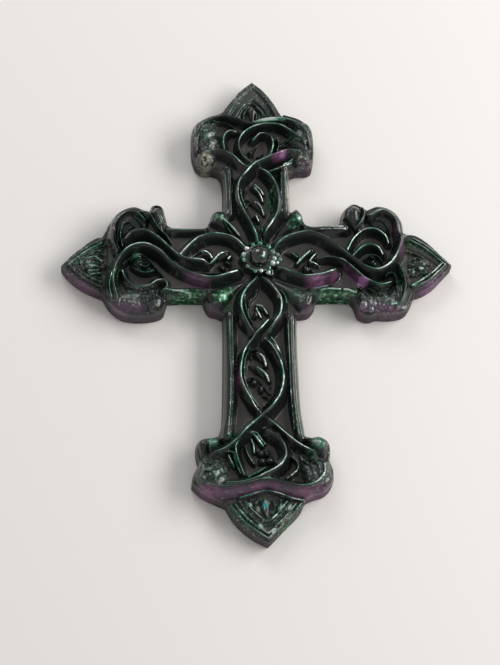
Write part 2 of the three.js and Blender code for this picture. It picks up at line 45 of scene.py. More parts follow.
# The view. The cross hangs on a wall, above eye level, and is seen from below and a little from
# the left, with the camera rolled slightly. The angles and the distance fit its four points.
MM = 0.001
VIEW_TURN = math.radians(-4.731)
VIEW_RISE = math.radians(-22)
VIEW_ROLL = math.radians(-1.933)
VIEW_AIM = Vector((-3.66, 0, -27.59)) * MM
VIEW_REACH = 812.4 * MM
PICTURE_HEIGHT = 665          # pixels
FOCAL_PIXELS = 2000           # focal length, in the same pixels

back = Vector((math.sin(VIEW_TURN) * math.cos(VIEW_RISE),
               -math.cos(VIEW_TURN) * math.cos(VIEW_RISE), math.sin(VIEW_RISE)))
level_right = Vector((0, 0, 1)).cross(back).normalized()
level_up = back.cross(level_right)
view_right = level_right * math.cos(VIEW_ROLL) + level_up * math.sin(VIEW_ROLL)
view_up = level_up * math.cos(VIEW_ROLL) - level_right * math.sin(VIEW_ROLL)
lens = bpy.data.cameras.new("view")
lens.sensor_width = 36
lens.lens = FOCAL_PIXELS / PICTURE_HEIGHT * lens.sensor_width
lens.clip_end = 10
camera = bpy.data.objects.new("view", lens)
scene.collection.objects.link(camera)
turned = Matrix((view_right, view_up, back)).transposed().to_4x4()
camera.matrix_world = Matrix.Translation(VIEW_AIM + back * VIEW_REACH) @ turned
scene.camera = camera


# The setting. A plain pale wall stands behind the cross, and the light is plain and soft: a tall
# window to the right, a weaker light from the left and the pale room all round.
def soft_light(name, place, width, tall, power, colour):
    light = bpy.data.lights.new(name, "AREA")
    light.shape = "RECTANGLE"
    light.size = width
    light.size_y = tall
    light.energy = power
    light.color = colour
    lamp = bpy.data.objects.new(name, light)
    lamp.location = place
    lamp.rotation_euler = (Vector((0, 0, -0.02)) - Vector(place)).to_track_quat("-Z", "Y").to_euler()
    scene.collection.objects.link(lamp)


soft_light("window_light", (0.84, -0.6, 0.1), 0.42, 1.1, 8.4, (1.0, 0.985, 0.96))
soft_light("ceiling_light", (-0.35, -0.7, 0.75), 0.6, 0.4, 2.4, (0.96, 0.975, 1.0))

world = bpy.data.worlds.new("pale_room")
world.use_nodes = True
world.node_tree.nodes["Background"].inputs["Color"].default_value = (0.9, 0.89, 0.87, 1)
world.node_tree.nodes["Background"].inputs["Strength"].default_value = 0.43
scene.world = world
scene.view_settings.view_transform = "Standard"

WALL_SPAN = 1.6               # metres from the middle to each side
WALL_GAP = 0.0006             # metres behind the back of the cross
wall_paint = bpy.data.materials.new("wall_paint")
wall_paint.use_nodes = True
wall_nodes = wall_paint.node_tree.nodes
wall_links = wall_paint.node_tree.links
paint = wall_nodes["Principled BSDF"]
paint.inputs["Base Color"].default_value = (0.955, 0.925, 0.905, 1)
paint.inputs["Roughness"].default_value = 0.9
# seen from behind, the wall lets the back of the cross show
clear = wall_nodes.new("ShaderNodeBsdfTransparent")
behind = wall_nodes.new("ShaderNodeNewGeometry")
either = wall_nodes.new("ShaderNodeMixShader")
wall_links.new(behind.outputs["Backfacing"], either.inputs["Fac"])
wall_links.new(paint.outputs["BSDF"], either.inputs[1])
wall_links.new(clear.outputs["BSDF"], either.inputs[2])
wall_links.new(either.outputs["Shader"], wall_nodes["Material Output"].inputs["Surface"])
wall_mesh = bpy.data.meshes.new("wall")
wall_corners = [(-1, 1), (-1, -1), (1, -1), (1, 1)]
wall_points = [(x * WALL_SPAN, WALL_GAP, z * WALL_SPAN) for x, z in wall_corners]
wall_mesh.from_pydata(wall_points, [], [(0, 1, 2, 3)])
wall_mesh.materials.append(wall_paint)
wall = bpy.data.objects.new("wall", wall_mesh)
scene.collection.objects.link(wall)


# The casting. One pour of dark resin in an open mould: a slab with an upright side wall, rails and
# woven strands on its front, leaves, capitals and four pointed ends, and a flat back.
GRID = 0.22                   # spacing of the plan grid
WALL_EDGE = 4.8               # where the upright side wall ends
GROUND = 8                    # sunk ground between the strands
TIP_FACE = 6.8                # face of the four pointed ends
LEAF_ROOT = 6.8               # leaves and balls bulge from this level
RAIL = 11                     # crest of the rails along the arms
CREST = 13.2                  # crest of an ordinary strand
OVER = 14.2                   # crest where a strand passes over
UNDER = 10.8                  # crest where it dips under
RIM = 12.4                    # crest of the rims round the capitals
COLLAR = 13.4                 # ring below the boss
COLLAR_RADIUS = 7

# Sections of the raised forms: half width at the foot, half width of the flat crest, and how much
# of the bright pigment, which also paints the highlight of the crest, lies on the crest
STRAND = (3.4, 0.16, 1.0)
TAUT = (2.7, 0.16, 1.0)
SLIM = (2.3, 0.14, 0.95)
LINE = (1.0, 0.12, 0.8)
FINE = (0.6, 0.08, 0.7)
GLEAM = (0.9, 0.18, 1.0)
BLADE = (1.1, 0.28, 1.5)
BAND = (2.0, 0.8, 0.9)
HAIR = (0.7, 0.1, 0.45)
WIRE = (0.7, 0.1, 0.3)
RAIL_BAR = (3.2, 1.1, 0.0)
RAIL_CORD = (2.8, 0.3, 0.1)

# The outline, as stretches that meet at its sharp corners
OUTLINE = [
    # right side of the top end
    [(0, 84), (4.9, 80), (9.4, 74), (12.2, 68.8)],
    # top capital, right side, with its lower corner
    [(12.2, 68.8), (19.6, 66.2), (24.4, 61.6), (25.2, 52), (24.6, 46)],
    [(24.6, 46), (23.9, 43.6), (21.9, 42.5), (17.5, 42.3), (15, 41), (14.4, 37), (14.2, 22.8)],
    # upper right lobe between the arms
    [(14.2, 22.8), (16.6, 24.2), (18.9, 21.8), (19.9, 18), (22, 16.5), (28, 16.7), (33, 17)],
    # right capital: ball, then the big loop
    [(33, 17), (34.8, 19), (36, 23.6), (40.4, 26.8), (44, 25.4), (45.9, 24)],
    [(45.9, 24), (50.8, 25.8), (56.3, 24), (60.2, 19), (61, 13.2)],
    # right end
    [(61, 13.2), (65.6, 12.8), (70.4, 9.6), (75.2, 4.5), (80.2, -0.8)],
    [(80.2, -0.8), (76.6, -4.6), (72, -9.4), (67.4, -12.3), (63.8, -13.5)],
    # right capital, underside
    [(63.8, -13.5), (62.4, -17.2), (59.4, -21.4), (54, -22.9), (47.8, -22.8)],
    [(47.8, -22.8), (44.3, -23.8), (40.4, -22), (39, -18), (37.4, -15.4)],
    [(37.4, -15.4), (30, -15.2), (23.2, -15.4)],
    # lower right lobe
    [(23.2, -15.4), (22.6, -18.6), (20, -21.8), (17.6, -22.4), (15.2, -22.6)],
    # shaft, right side
    [(15.2, -22.6), (14.8, -30), (14.8, -50), (15.2, -64), (16.4, -74.6)],
    # bottom capital, right side: ball, then the side lobe
    [(16.4, -74.6), (18.6, -75.2), (21.4, -74.8), (25.2, -77), (26.1, -80.6), (25.4, -84.6)],
    [(25.4, -84.6), (26.9, -89), (26.6, -93.6), (23.4, -97.7), (18.6, -99.4), (15.4, -100.9)],
    # bottom end
    [(15.4, -100.9), (13.4, -105), (7.8, -110.8), (0.4, -118.4)],
    [(0.4, -118.4), (-6, -114.8), (-12, -109.2), (-16, -102.6)],
    # bottom capital, left side
    [(-16, -102.6), (-20.6, -100.4), (-25.4, -97.8), (-29, -94.2)],
    [(-29, -94.2), (-28.4, -90.2), (-26.2, -86)],
    [(-26.2, -86), (-27, -81.4), (-26.8, -77.4), (-24.6, -75.6), (-20.6, -75), (-18.2, -74.4)],
    # shaft, left side
    [(-18.2, -74.4), (-16.7, -69), (-16, -60), (-15.4, -44), (-15, -30), (-15, -23)],
    # lower left lobe
    [(-15, -23), (-17.4, -21.8), (-20.2, -21), (-22, -18.4), (-22.8, -15.5)],
    [(-22.8, -15.5), (-30, -15.4), (-37.2, -15.7)],
    # left capital, underside
    [(-37.2, -15.7), (-38, -18.4), (-39.4, -21.6), (-44, -23.2), (-50.8, -23.5), (-56, -22.4),
     (-60.6, -18.6), (-63.4, -13.6)],
    # left end
    [(-63.4, -13.6), (-68, -11.6), (-72.6, -9), (-77, -5.2), (-80.3, -0.8)],
    [(-80.3, -0.8), (-75.2, 4.4), (-70.4, 8.6), (-66, 11.5), (-63.5, 12)],
    # left capital: scroll, then the ball
    [(-63.5, 12), (-60.6, 17.6), (-56.6, 22.8), (-50.4, 25.4), (-46, 23.8), (-44.4, 23.4)],
    [(-44.4, 23.4), (-43.2, 25.5), (-41.2, 26.2), (-38.4, 24.8), (-37.3, 21), (-36.4, 16.8),
     (-34.4, 15.9)],
    # upper left lobe
    [(-34.4, 15.9), (-26, 15.4), (-21.4, 15.8), (-19.8, 18.4), (-18.4, 22), (-16, 23.4), (-13.8, 23)],
    # top capital, left side
    [(-13.8, 23), (-13.6, 36), (-14.6, 40.6), (-17.2, 42.4), (-22, 42.7), (-24.6, 44.8)],
    [(-24.6, 44.8), (-25.9, 49.4), (-26.1, 55.4), (-25.2, 62.4), (-20, 66.4), (-13.9, 68.8)],
    # left side of the top end
    [(-13.9, 68.8), (-9.6, 74.6), (-5, 80), (0, 84)],
]

# Strands, as points on their crest: x, y, height, and how bright the pigment and its painted
# highlight are there if not fully
STRANDS = [
    # left arm
    (STRAND, [(-5.5, 5, 12.4), (-8.7, 8.2, CREST), (-11.2, 9.7, CREST, 0.55), (-14.2, 10.6, CREST, 0.7),
              (-17.4, 11, CREST), (-19.4, 10.8, CREST, 0.5), (-22.2, 10, CREST, 0.8),
              (-24.4, 9.2, CREST, 0.6), (-26.2, 7.7, CREST, 1.2), (-28.6, 5.4, CREST, 1.5),
              (-31.4, 2.4, 12.6, 1.4), (-34, -1, UNDER, 0)]),
    (STRAND, [(-54.2, 8.6, CREST, 0.2), (-51.7, 11.4, CREST, 0.4), (-46.4, 12.1, OVER, 0.5),
              (-40.7, 8.8, OVER, 0.7), (-36.5, 4.6, OVER, 0.8), (-32.3, 0.9, OVER, 0.6),
              (-29.4, 0, CREST, 0.4), (-25.5, -0.5, CREST, 1.2), (-22.8, -0.6, 12.6),
              (-21.4, -1.2, 11.6, 0.5)]),
    (STRAND, [(-57.6, -16.5, 11.4, 0.3), (-59.2, -8, 12.4, 0.3), (-57.2, -0.7, CREST, 0.35),
              (-52.4, 4.6, OVER, 1.2), (-46.3, 6.1, OVER, 1.2), (-40.3, 3.1, OVER, 0.6),
              (-36.1, -1.1, CREST, 0.45), (-32.5, -3.9, CREST, 0.5), (-28.1, -6.3, CREST, 0.35),
              (-24, -7.6, CREST, 0.6), (-20.1, -8.3, CREST, 0.9), (-16.1, -7.9, CREST, 1.2),
              (-12.2, -6.6, CREST, 1.4), (-8.9, -5.1, 12, 1.3)]),
    # right arm
    (STRAND, [(6.2, 4, 12), (7.8, 6.4, CREST), (9.6, 8.2, CREST, 0.9), (11.8, 9.6, CREST),
              (14.8, 10.8, CREST, 0.8), (18.8, 11.8, CREST, 0.6), (21.3, 11.8, CREST, 0.35),
              (25.7, 10.4, CREST, 0.4), (29.7, 7.6, CREST, 0.35), (33.7, 4.4, CREST, 0.45),
              (37.6, 0.4, OVER, 0.4), (43.8, -4.2, OVER, 0.45), (48.4, -5.3, OVER, 1.4),
              (53.6, -2.4, OVER, 1.4), (57.2, 3.4, OVER, 0.5), (58.8, 11.4, OVER, 0.5),
              (56.8, 18.4, CREST, 0.6), (51.6, 21.6, CREST, 0.8), (47, 19.6, 12, 0.6)]),
    (STRAND, [(7.8, -3.8, 12, 0.8), (9.8, -4.7, CREST, 0.5), (12.4, -5.9, CREST, 0.8),
              (14.8, -6.7, CREST, 0.4), (17, -7.4, CREST, 0.5), (19, -7.8, CREST, 1.4),
              (23.7, -7.3, CREST, 1.5), (26.7, -6.7, CREST, 1.5), (29.1, -5.7, CREST, 1.5),
              (31.2, -4.6, 12, 0.5)]),
    (SLIM, [(24.4, 0.6, 10.6, 0.4), (28.4, 0.9, 12.4, 0.5), (32.4, -0.1, CREST, 0.4),
            (34.3, -0.8, CREST, 0.9), (36.1, -2.2, CREST, 0.4), (39.5, -5.5, CREST),
            (43.4, -9.1, CREST, 0.7), (49.2, -11.6, CREST), (53.6, -10.2, 12, 0.7)]),
    (SLIM, [(36.4, 3.9, 12.6, 1.4), (39.2, 8.8, CREST, 1.3), (43.8, 12.7, CREST, 0.8),
            (48.4, 13, CREST, 1.3), (52.4, 10.2, 12.4, 1.4), (53.6, 7.6, 11)]),
    (SLIM, [(38.6, 1.4, 12.4, 0.6), (42.4, 5.1, 12.8, 1.3), (46, 6.3, 12.8, 0.8),
            (49.2, 5.2, 12.2, 1.4), (51, 2.6, 11)]),
    (SLIM, [(57.4, -2.2, 12, 0.3), (59, -7, 12.4, 0.1), (59.3, -12, 12.2, 0.15), (58, -17, 11.4, 0.9),
            (55.6, -20, 10.4)]),
    # top arm, the two strands that part into the capital
    (STRAND, [(-0.2, 7.6, 12, 0.8), (-1.2, 11.8, CREST, 1.2), (-3.2, 16.6, CREST, 0.5),
              (-5.6, 21.4, CREST, 0.6), (-7.4, 26.3, CREST, 0.8), (-7.8, 28.9, CREST, 0.6),
              (-7.3, 33.8, CREST, 0.7), (-6.2, 36.3, CREST, 0.5), (-3.9, 38.6, OVER, 1.4),
              (-0.8, 42.2, OVER, 0.9), (4, 44.8, OVER, 0.8), (9, 47.2, OVER, 0.3),
              (13.4, 49.2, CREST, 0.3), (18.6, 49.3, 12, 0.8)]),
    (STRAND, [(2.8, 11.6, 11.4, 0.4), (3.6, 13, 12.4, 1.2), (6, 16.4, CREST, 1.3),
              (8.2, 20.6, CREST, 0.6), (9.1, 26, CREST, 0.6), (8.8, 28.9, CREST, 0.4),
              (7.6, 34.5, CREST, 0.5), (4.6, 38.9, CREST, 1.3), (0.6, 41.8, UNDER, 0.2),
              (-4.6, 43.2, UNDER, 0.6), (-9.8, 46.9, CREST, 0.6), (-14.8, 48.9, CREST, 0.2),
              (-20.4, 48.8, 12)]),
    (SLIM, [(-1.4, 44.2, UNDER, 0.5), (-5.6, 47.4, 12.6, 0.5), (-6.8, 51.6, CREST, 0.5),
            (-5.4, 56, CREST, 0.8), (-1.8, 59.3, CREST, 1.2), (4, 61.3, CREST, 1.4),
            (10.6, 61, CREST, 1.1), (15, 58.6, 12.8, 0.8), (18.6, 56.2, 12, 0.6)]),
    (SLIM, [(-0.6, 54.6, 11), (2.6, 57.4, 12, 0.8), (6.2, 56.4, 12.6, 0.2), (7.6, 52.8, 12.6),
            (6.8, 48.8, 12), (5.2, 46, UNDER, 0)]),
    (SLIM, [(-7.4, 58.4, 11, 0.7), (-10.2, 58.6, 12, 0.6), (-12.3, 56.8, 12.4, 0.8),
            (-13.1, 53.6, 12.2), (-12.7, 50.6, 11)]),
    # shaft: one strand down the left and across at the foot, one down the right, and one that
    # starts inside the first crossing and runs down the left of the lower opening
    (STRAND, [(-1, -8, 12), (-2.4, -9.9, CREST, 0.6), (-4.8, -12.4, CREST, 0.7),
              (-6.6, -15.2, CREST, 1.3), (-7.7, -18.5, CREST, 1.4), (-7.8, -21.5, CREST, 1.1),
              (-7.1, -24.5, CREST, 0.8), (-6, -27.1, 12.8, 0.5), (-3.3, -31, UNDER, 0.3),
              (0.4, -34, UNDER, 0.1), (3.3, -36.9, 12.4, 0.6), (4.8, -39.6, CREST, 0.7),
              (6.4, -42.8, CREST, 0.6), (7.4, -45.8, CREST, 1.3), (8, -49.8, CREST, 1.1),
              (8, -52.8, CREST, 1.4), (7.4, -55.8, CREST, 1.2), (6.4, -58.8, CREST),
              (4.4, -62.2, OVER, 1.4), (2.2, -65, OVER, 0.5), (-2.3, -69, OVER, 0.6),
              (-7, -73.2, OVER, 1.4), (-11.6, -77.8, CREST, 0.8), (-16, -81, 12.4, 0.7),
              (-20, -82, 11, 0.4)]),
    (STRAND, [(1.2, -8.2, 12, 0.6), (2.3, -9.3, CREST, 0.5), (4.4, -11.3, CREST, 0.7),
              (6.4, -14.1, CREST), (7.8, -16.5, CREST, 0.7), (8.4, -18.9, CREST, 1.4),
              (8.3, -21.9, CREST, 1.5), (7.6, -24.7, CREST, 1.3), (6.1, -26.9, CREST, 0.8),
              (4.4, -29.4, CREST, 0.3), (2.5, -31.7, 12.8, 0.3), (0.4, -33.7, 12, 0.3)]),
    (TAUT, [(2.7, -27.4, 13.4, 1.5), (0.3, -30.4, OVER, 1.3), (-2.3, -33.1, OVER, 0.4),
            (-4.2, -36, 14, 0.4), (-7.1, -40.4, 13.4, 1.4), (-8.4, -45, CREST),
            (-8.9, -49.5, CREST, 1.3), (-8.6, -52.7, CREST, 0.8), (-7.3, -56.5, CREST, 0.8),
            (-5.4, -60.3, CREST), (-3.4, -64.1, 12.6), (-0.6, -66.6, UNDER, 0.6),
            (3.8, -70.2, UNDER, 0.8), (7.8, -75, CREST, 1.4), (13, -79.5, CREST, 0.9),
            (18.6, -82, 11.4, 0.6)]),
    # ring in the bottom capital, with its tail along the rim
    (SLIM, [(-8.7, -91.5, 11, 0.6), (-9.6, -89.4, 12, 0.7), (-10.7, -86.3, 12.4, 0.6),
            (-11.6, -82.6, 12.4, 0.8), (-11.6, -79.8, 12.4), (-9.2, -76.6, 12, 0.6),
            (-6.5, -74.9, 11.6, 0.3), (-4.5, -74, 11.2, 0)]),
    (STRAND, [(0.7, -73.6, 12, 0.2), (3.2, -75.3, CREST, 0.2), (5.6, -77.1, CREST, 0.3),
              (7.1, -79.6, CREST, 0.5), (7.9, -82.9, CREST, 0.6), (7.4, -85.4, CREST, 0.8),
              (5.9, -87.7, CREST, 1.5), (3.8, -89.4, CREST, 1.5), (-0.2, -91.5, CREST, 1.2),
              (-3.6, -93, 12.6, 0.7), (-9.4, -94.6, 12, 0.5), (-15.4, -94.6, 11, 0.4)]),
    # scrolls of the left capital
    (SLIM, [(-57.4, 3.4, 12, 0.2), (-59.2, 9.4, 12.2, 0.2), (-58.8, 15, 12.2, 0.3),
            (-56.4, 19.2, 12.2, 0.8), (-52.4, 21.3, 12.2, 0.3), (-48.8, 20.8, 11.8, 0.4),
            (-46.2, 18.2, 11)]),
    (LINE, [(-55.2, 6, 11, 0.6), (-56, 11, 12, 0.7), (-54.7, 15.6, 12, 0.5), (-52.4, 16.8, 11.6, 0.3),
            (-50.2, 15.2, 10.6, 0.3)]),
    (LINE, [(-55.2, -2.2, 11.4, 0.6), (-52.6, 0.1, 12, 0.4), (-50, 2, 12.3, 0.5),
            (-47.2, 1.6, 12.2, 0.3), (-44, -1.4, 12.2, 0.3), (-42.2, -3.6, 12, 0.5),
            (-40.4, -5.7, 11.8, 0.5), (-39, -7.2, 11.2, 0.5)]),
    (LINE, [(-51.6, -2.9, 11.4, 0.3), (-49.6, -4.7, 12, 0.8), (-47.4, -5.8, 12.2), (-45, -5.9, 12.2),
            (-42.6, -4.9, 11.8)]),
    (SLIM, [(-55.4, -4.6, 11), (-54.2, -8.2, 11.8, 0.3), (-51.4, -11.2, 12, 0.3),
            (-47.8, -12.2, 12, 0.6), (-44.2, -11.2, 12, 0.9), (-41.6, -9.4, 11.8),
            (-38.4, -9, 11.6, 0.5), (-37.4, -11.2, 11, 0.6), (-39.8, -13.8, 10.4, 0.5)]),
]

# Rims of the top and the bottom capital
RIMS = [
    (BAND, [(0.6, 62.3, RIM, 0.3), (4, 63.3, RIM, 1), (8.6, 63.9, RIM, 1.1), (12, 63.7, RIM, 0.7)]),
    (SLIM, [(-23.6, 58, 11.4, 0.2), (-22, 63, RIM, 0.6), (-14, 65.6, RIM, 0.1), (-6.4, 64, RIM, 0.1),
            (-2, 62, RIM, 0.1), (2.6, 63.2, RIM, 1.1), (8, 64.3, RIM, 1.4), (14, 64, RIM, 1.2),
            (20, 60.8, RIM, 0.2), (22.4, 56, 11.4, 0.2)]),
    (STRAND, [(-24.6, -87.6, 11.4, 0.3), (-25, -92, RIM, 0.3), (-22.4, -95.4, RIM, 0.4),
              (-16.6, -96.4, RIM, 0.5), (-8, -95.4, RIM, 0.1), (-3, -94, RIM, 0.2),
              (0, -93.4, RIM, 0.9), (3, -94, RIM, 0.3), (8, -95.4, RIM, 0.2), (14.8, -96.4, RIM, 0.7),
              (20, -94.6, RIM, 1.3), (22.8, -91, RIM, 1.3), (23, -87.4, 11.4)]),
]

# Rails along both sides of the arms and the shaft
RAILS = [
    # top arm
    (RAIL_BAR, [(-11.6, 21, RAIL), (-11.6, 30, RAIL), (-11.8, 41, RAIL)]),
    (RAIL_BAR, [(11.9, 21, RAIL), (11.9, 30, RAIL), (12.1, 41.5, RAIL)]),
    # side arms
    (RAIL_CORD, [(-37, 13.4, RAIL), (-28, 13.4, RAIL), (-22, 13.6, RAIL)]),
    (RAIL_CORD, [(-38.4, -13.6, RAIL), (-30, -13.6, RAIL), (-21, -13.4, RAIL)]),
    (RAIL_BAR, [(20.4, 14.4, RAIL), (28, 14.4, RAIL), (36, 14.4, RAIL)]),
    (RAIL_CORD, [(21, -13.4, RAIL), (30, -13.5, RAIL), (39, -13.6, RAIL)]),
    # shaft
    (RAIL_BAR, [(-12.5, -24, RAIL), (-12.8, -44, RAIL), (-13.4, -62, RAIL), (-15, -76, RAIL)]),
    (RAIL_BAR, [(12.2, -25, RAIL), (12.3, -44, RAIL), (12.7, -62, RAIL), (14.2, -76, RAIL)]),
]

# Thin lines along the rails, bright with pigment and a painted highlight on their crests
RAIL_LINES = [
    (FINE, [(-11.1, 22, 11.4), (-11.1, 30, 11.4), (-11.3, 40, 11.4)]),
    (FINE, [(-12.3, 22, 11.2), (-12.3, 30, 11.2), (-12.6, 39, 11.2)]),
    (FINE, [(10.4, 22, 10.8), (10.4, 30, 10.8), (10.6, 40, 10.8)]),
    (FINE, [(12, 21.6, 11.4), (12, 30, 11.4), (12.1, 40, 11.4)]),
    (FINE, [(-36, 13.4, 11.4), (-30, 13.4, 11.4), (-24, 13.4, 11.4)]),
    (GLEAM, [(-36.8, -13, 11.3, 0.8), (-34, -13.5, 11.4, 1.5), (-31.4, -13.7, 11.4, 1.2),
             (-29, -14.3, 11.2, 1.5)]),
    (GLEAM, [(26.2, 15.1, 11.4, 0.6), (30, 15.2, 11.5, 1.3), (35, 15, 11.4, 1.4)]),
    (GLEAM, [(26.2, 13.7, 11.4, 1.3), (28, 13.8, 11.5, 0.8), (29.8, 13.9, 11.4)]),
    (GLEAM, [(31.2, 13.9, 11.4), (33, 13.9, 11.5, 1.4), (36, 13.8, 11.4, 1.3)]),
    (BLADE, [(25, -13.4, 11.4, 0.5), (28, -12.8, 11.4, 0.9), (32.6, -13, 11.4, 0.9)]),
    (BLADE, [(34.4, -13.1, 11.4, 0.9), (36, -13.2, 11.5), (39, -14.4, 11.3)]),
    (FINE, [(-11.6, -28, 11.3, 1.2), (-11.7, -44, 11.3, 1.3), (-12.4, -62, 11.3, 0.9),
            (-13.6, -74, 11.3, 1.2)]),
    (FINE, [(-12.6, -27, 11.4, 1.3), (-12.7, -44, 11.4, 0.7), (-13.3, -62, 11.4, 1.2),
            (-14.6, -75, 11.4, 1.2)]),
    (FINE, [(10.8, -28, 11.1), (10.9, -40, 11.1), (11, -60, 11.1), (11.8, -73, 11)]),
    (FINE, [(11.9, -26, 11.4), (12, -42, 11.4), (12.1, -60, 11.4), (13.2, -75, 11.4)]),
    (FINE, [(13.1, -26, 11.4), (13.2, -42, 11.4), (13.3, -60, 11.4), (14.6, -76, 11.4)]),
]

# Lines along the borders of the pointed ends
BORDERS = [
    (LINE, [(-10.6, 67.6, 8.2, 0.7), (-7.4, 73.4, 8.2, 0.4), (-3.6, 78, 8.2, 0.1), (0, 81, 8.2, 0)]),
    (LINE, [(9.6, 67.6, 8.2, 0.2), (7, 73.4, 8.2, 0.2), (3.6, 78, 8.2, 0), (0, 81, 8.2, 0)]),
    (LINE, [(-7.4, 67, 8, 0.6), (-4.6, 71.6, 8, 0.4), (0, 75.4, 8, 0.4), (4.4, 71.6, 8, 0.4),
            (7, 67, 8, 0.4)]),
    (LINE, [(63.4, 10, 8.2), (69, 6.6, 8.2), (74.4, 1.6, 8.2), (77, -0.8, 8.2)]),
    (LINE, [(63.4, -10.6, 8.2), (69, -8.2, 8.2), (74, -3.8, 8.2), (77, -0.8, 8.2)]),
    (LINE, [(-63.4, 9, 8.2), (-69.4, 5.6, 8.2), (-74.4, 1.6, 8.2), (-77, -0.8, 8.2)]),
    (LINE, [(-63.4, -10.6, 8.2, 0.6), (-69, -8, 8.2, 0), (-74, -3.8, 8.2, 0), (-77, -0.8, 8.2, 0.3)]),
    (LINE, [(-12.4, -102.6, 8.2), (-8, -108.2, 8.2), (0.2, -114.6, 8.2)]),
    (LINE, [(11.4, -102.6, 8.2), (7.6, -107.2, 8.2), (0.2, -114.6, 8.2)]),
    (LINE, [(-8.4, -101.6, 8), (-4.6, -106, 8), (0, -109.4, 8), (4.4, -106, 8), (8, -101.6, 8)]),
]

# Leaves and balls, each drawn out from its head to its tail: head, tail, half width, top
LEAVES = [
    # four lobes between the arms
    ((-15.6, 18.4), (-6.6, 8.8), 4.4, 12.4),
    ((15.6, 18.8), (6, 8.6), 4.2, 12.4),
    ((-17.4, -16.8), (-8.2, -10), 5, 12.2),
    ((17.6, -17), (8, -10), 5.2, 12.2),
    # balls of the capitals
    ((-40.8, 20.6), (-38.8, 10.6), 3.4, 13),
    ((39.6, 20.6), (42.2, 11.6), 4.6, 13),
    ((43.6, -18.2), (40.8, -10.6), 4.2, 12),
    ((-42.6, -18.2), (-44.6, -11.4), 4.2, 11.4),
    ((-24.2, -79), (-24.6, -84), 2.6, 12),
    ((-20.7, -78.4), (-21, -79.4), 3.3, 13.8),
    ((21, -79), (21.6, -80.4), 4.6, 13.8),
    ((-20.6, 46), (-22, 54), 4.4, 12.6),
    ((19.8, 46), (21, 54), 4.2, 11.8),
    # leaves that fill the side fields of the capitals
    ((-19.6, 57.6), (-14, 51), 5, 12.2),
    ((17.2, 54.6), (11.4, 52.8), 3.8, 12),
    ((-21, -90.4), (-13.6, -86), 5, 11.8),
    ((18, -91), (14, -83.4), 4.4, 11.8),
    ((-50.8, -18.4), (-53.6, -9), 4.4, 10.6),
    ((52.4, -17.4), (47.6, -13.6), 4, 10.6),
    ((-48.2, -1.4), (-39.6, -6), 4, 11.7),
    # left arm
    ((-13.4, 2.6), (-25.8, -4.2), 2.1, 11.2),
    ((-21, 3.1), (-26.8, 1.8), 2.6, 11),
    # right arm
    ((21.6, 4), (12, -3.2), 2, 11.2),
    ((15, 2.2), (10, 3.9), 1.9, 10.8),
    ((21.6, -1), (25.8, -3.2), 1.8, 10.6),
    ((46.4, -1.4), (43.4, -0.2), 1.9, 12.2),
    # top arm
    ((-0.4, 32.6), (3.2, 26.6), 2.1, 11.2),
    ((-0.8, 26), (3, 20.2), 2, 11),
    ((-2.2, 27), (-3.6, 28.2), 1.5, 10),
    ((-0.3, 19.6), (1.4, 15.6), 1.4, 10.6),
    ((-1.6, 49), (1.2, 52.6), 1.7, 10.8),
    ((1.8, 47.2), (3.8, 49.6), 1.3, 10.4),
    # shaft
    ((-0.2, -20.4), (3.7, -24), 1.6, 10.6),
    ((-1.2, -41.2), (2.2, -46.6), 2.4, 11.2),
    ((-1.6, -47.6), (3.9, -53.8), 2.2, 11),
    ((-2.2, -47.2), (-5.6, -45.6), 1.9, 10.6),
    # ring of the bottom capital
    ((-3.2, -76), (-0.2, -80.8), 1.5, 11.2),
    # buds on the pointed ends
    ((-0.4, 69.4), (-0.2, 65.6), 2, 8.8),
    ((67.4, -0.4), (63, -0.4), 2.2, 8.8),
    ((-68, -0.6), (-63, -0.6), 3, 8.8),
    ((-0.4, -102.6), (0, -107), 2, 8.8),
]

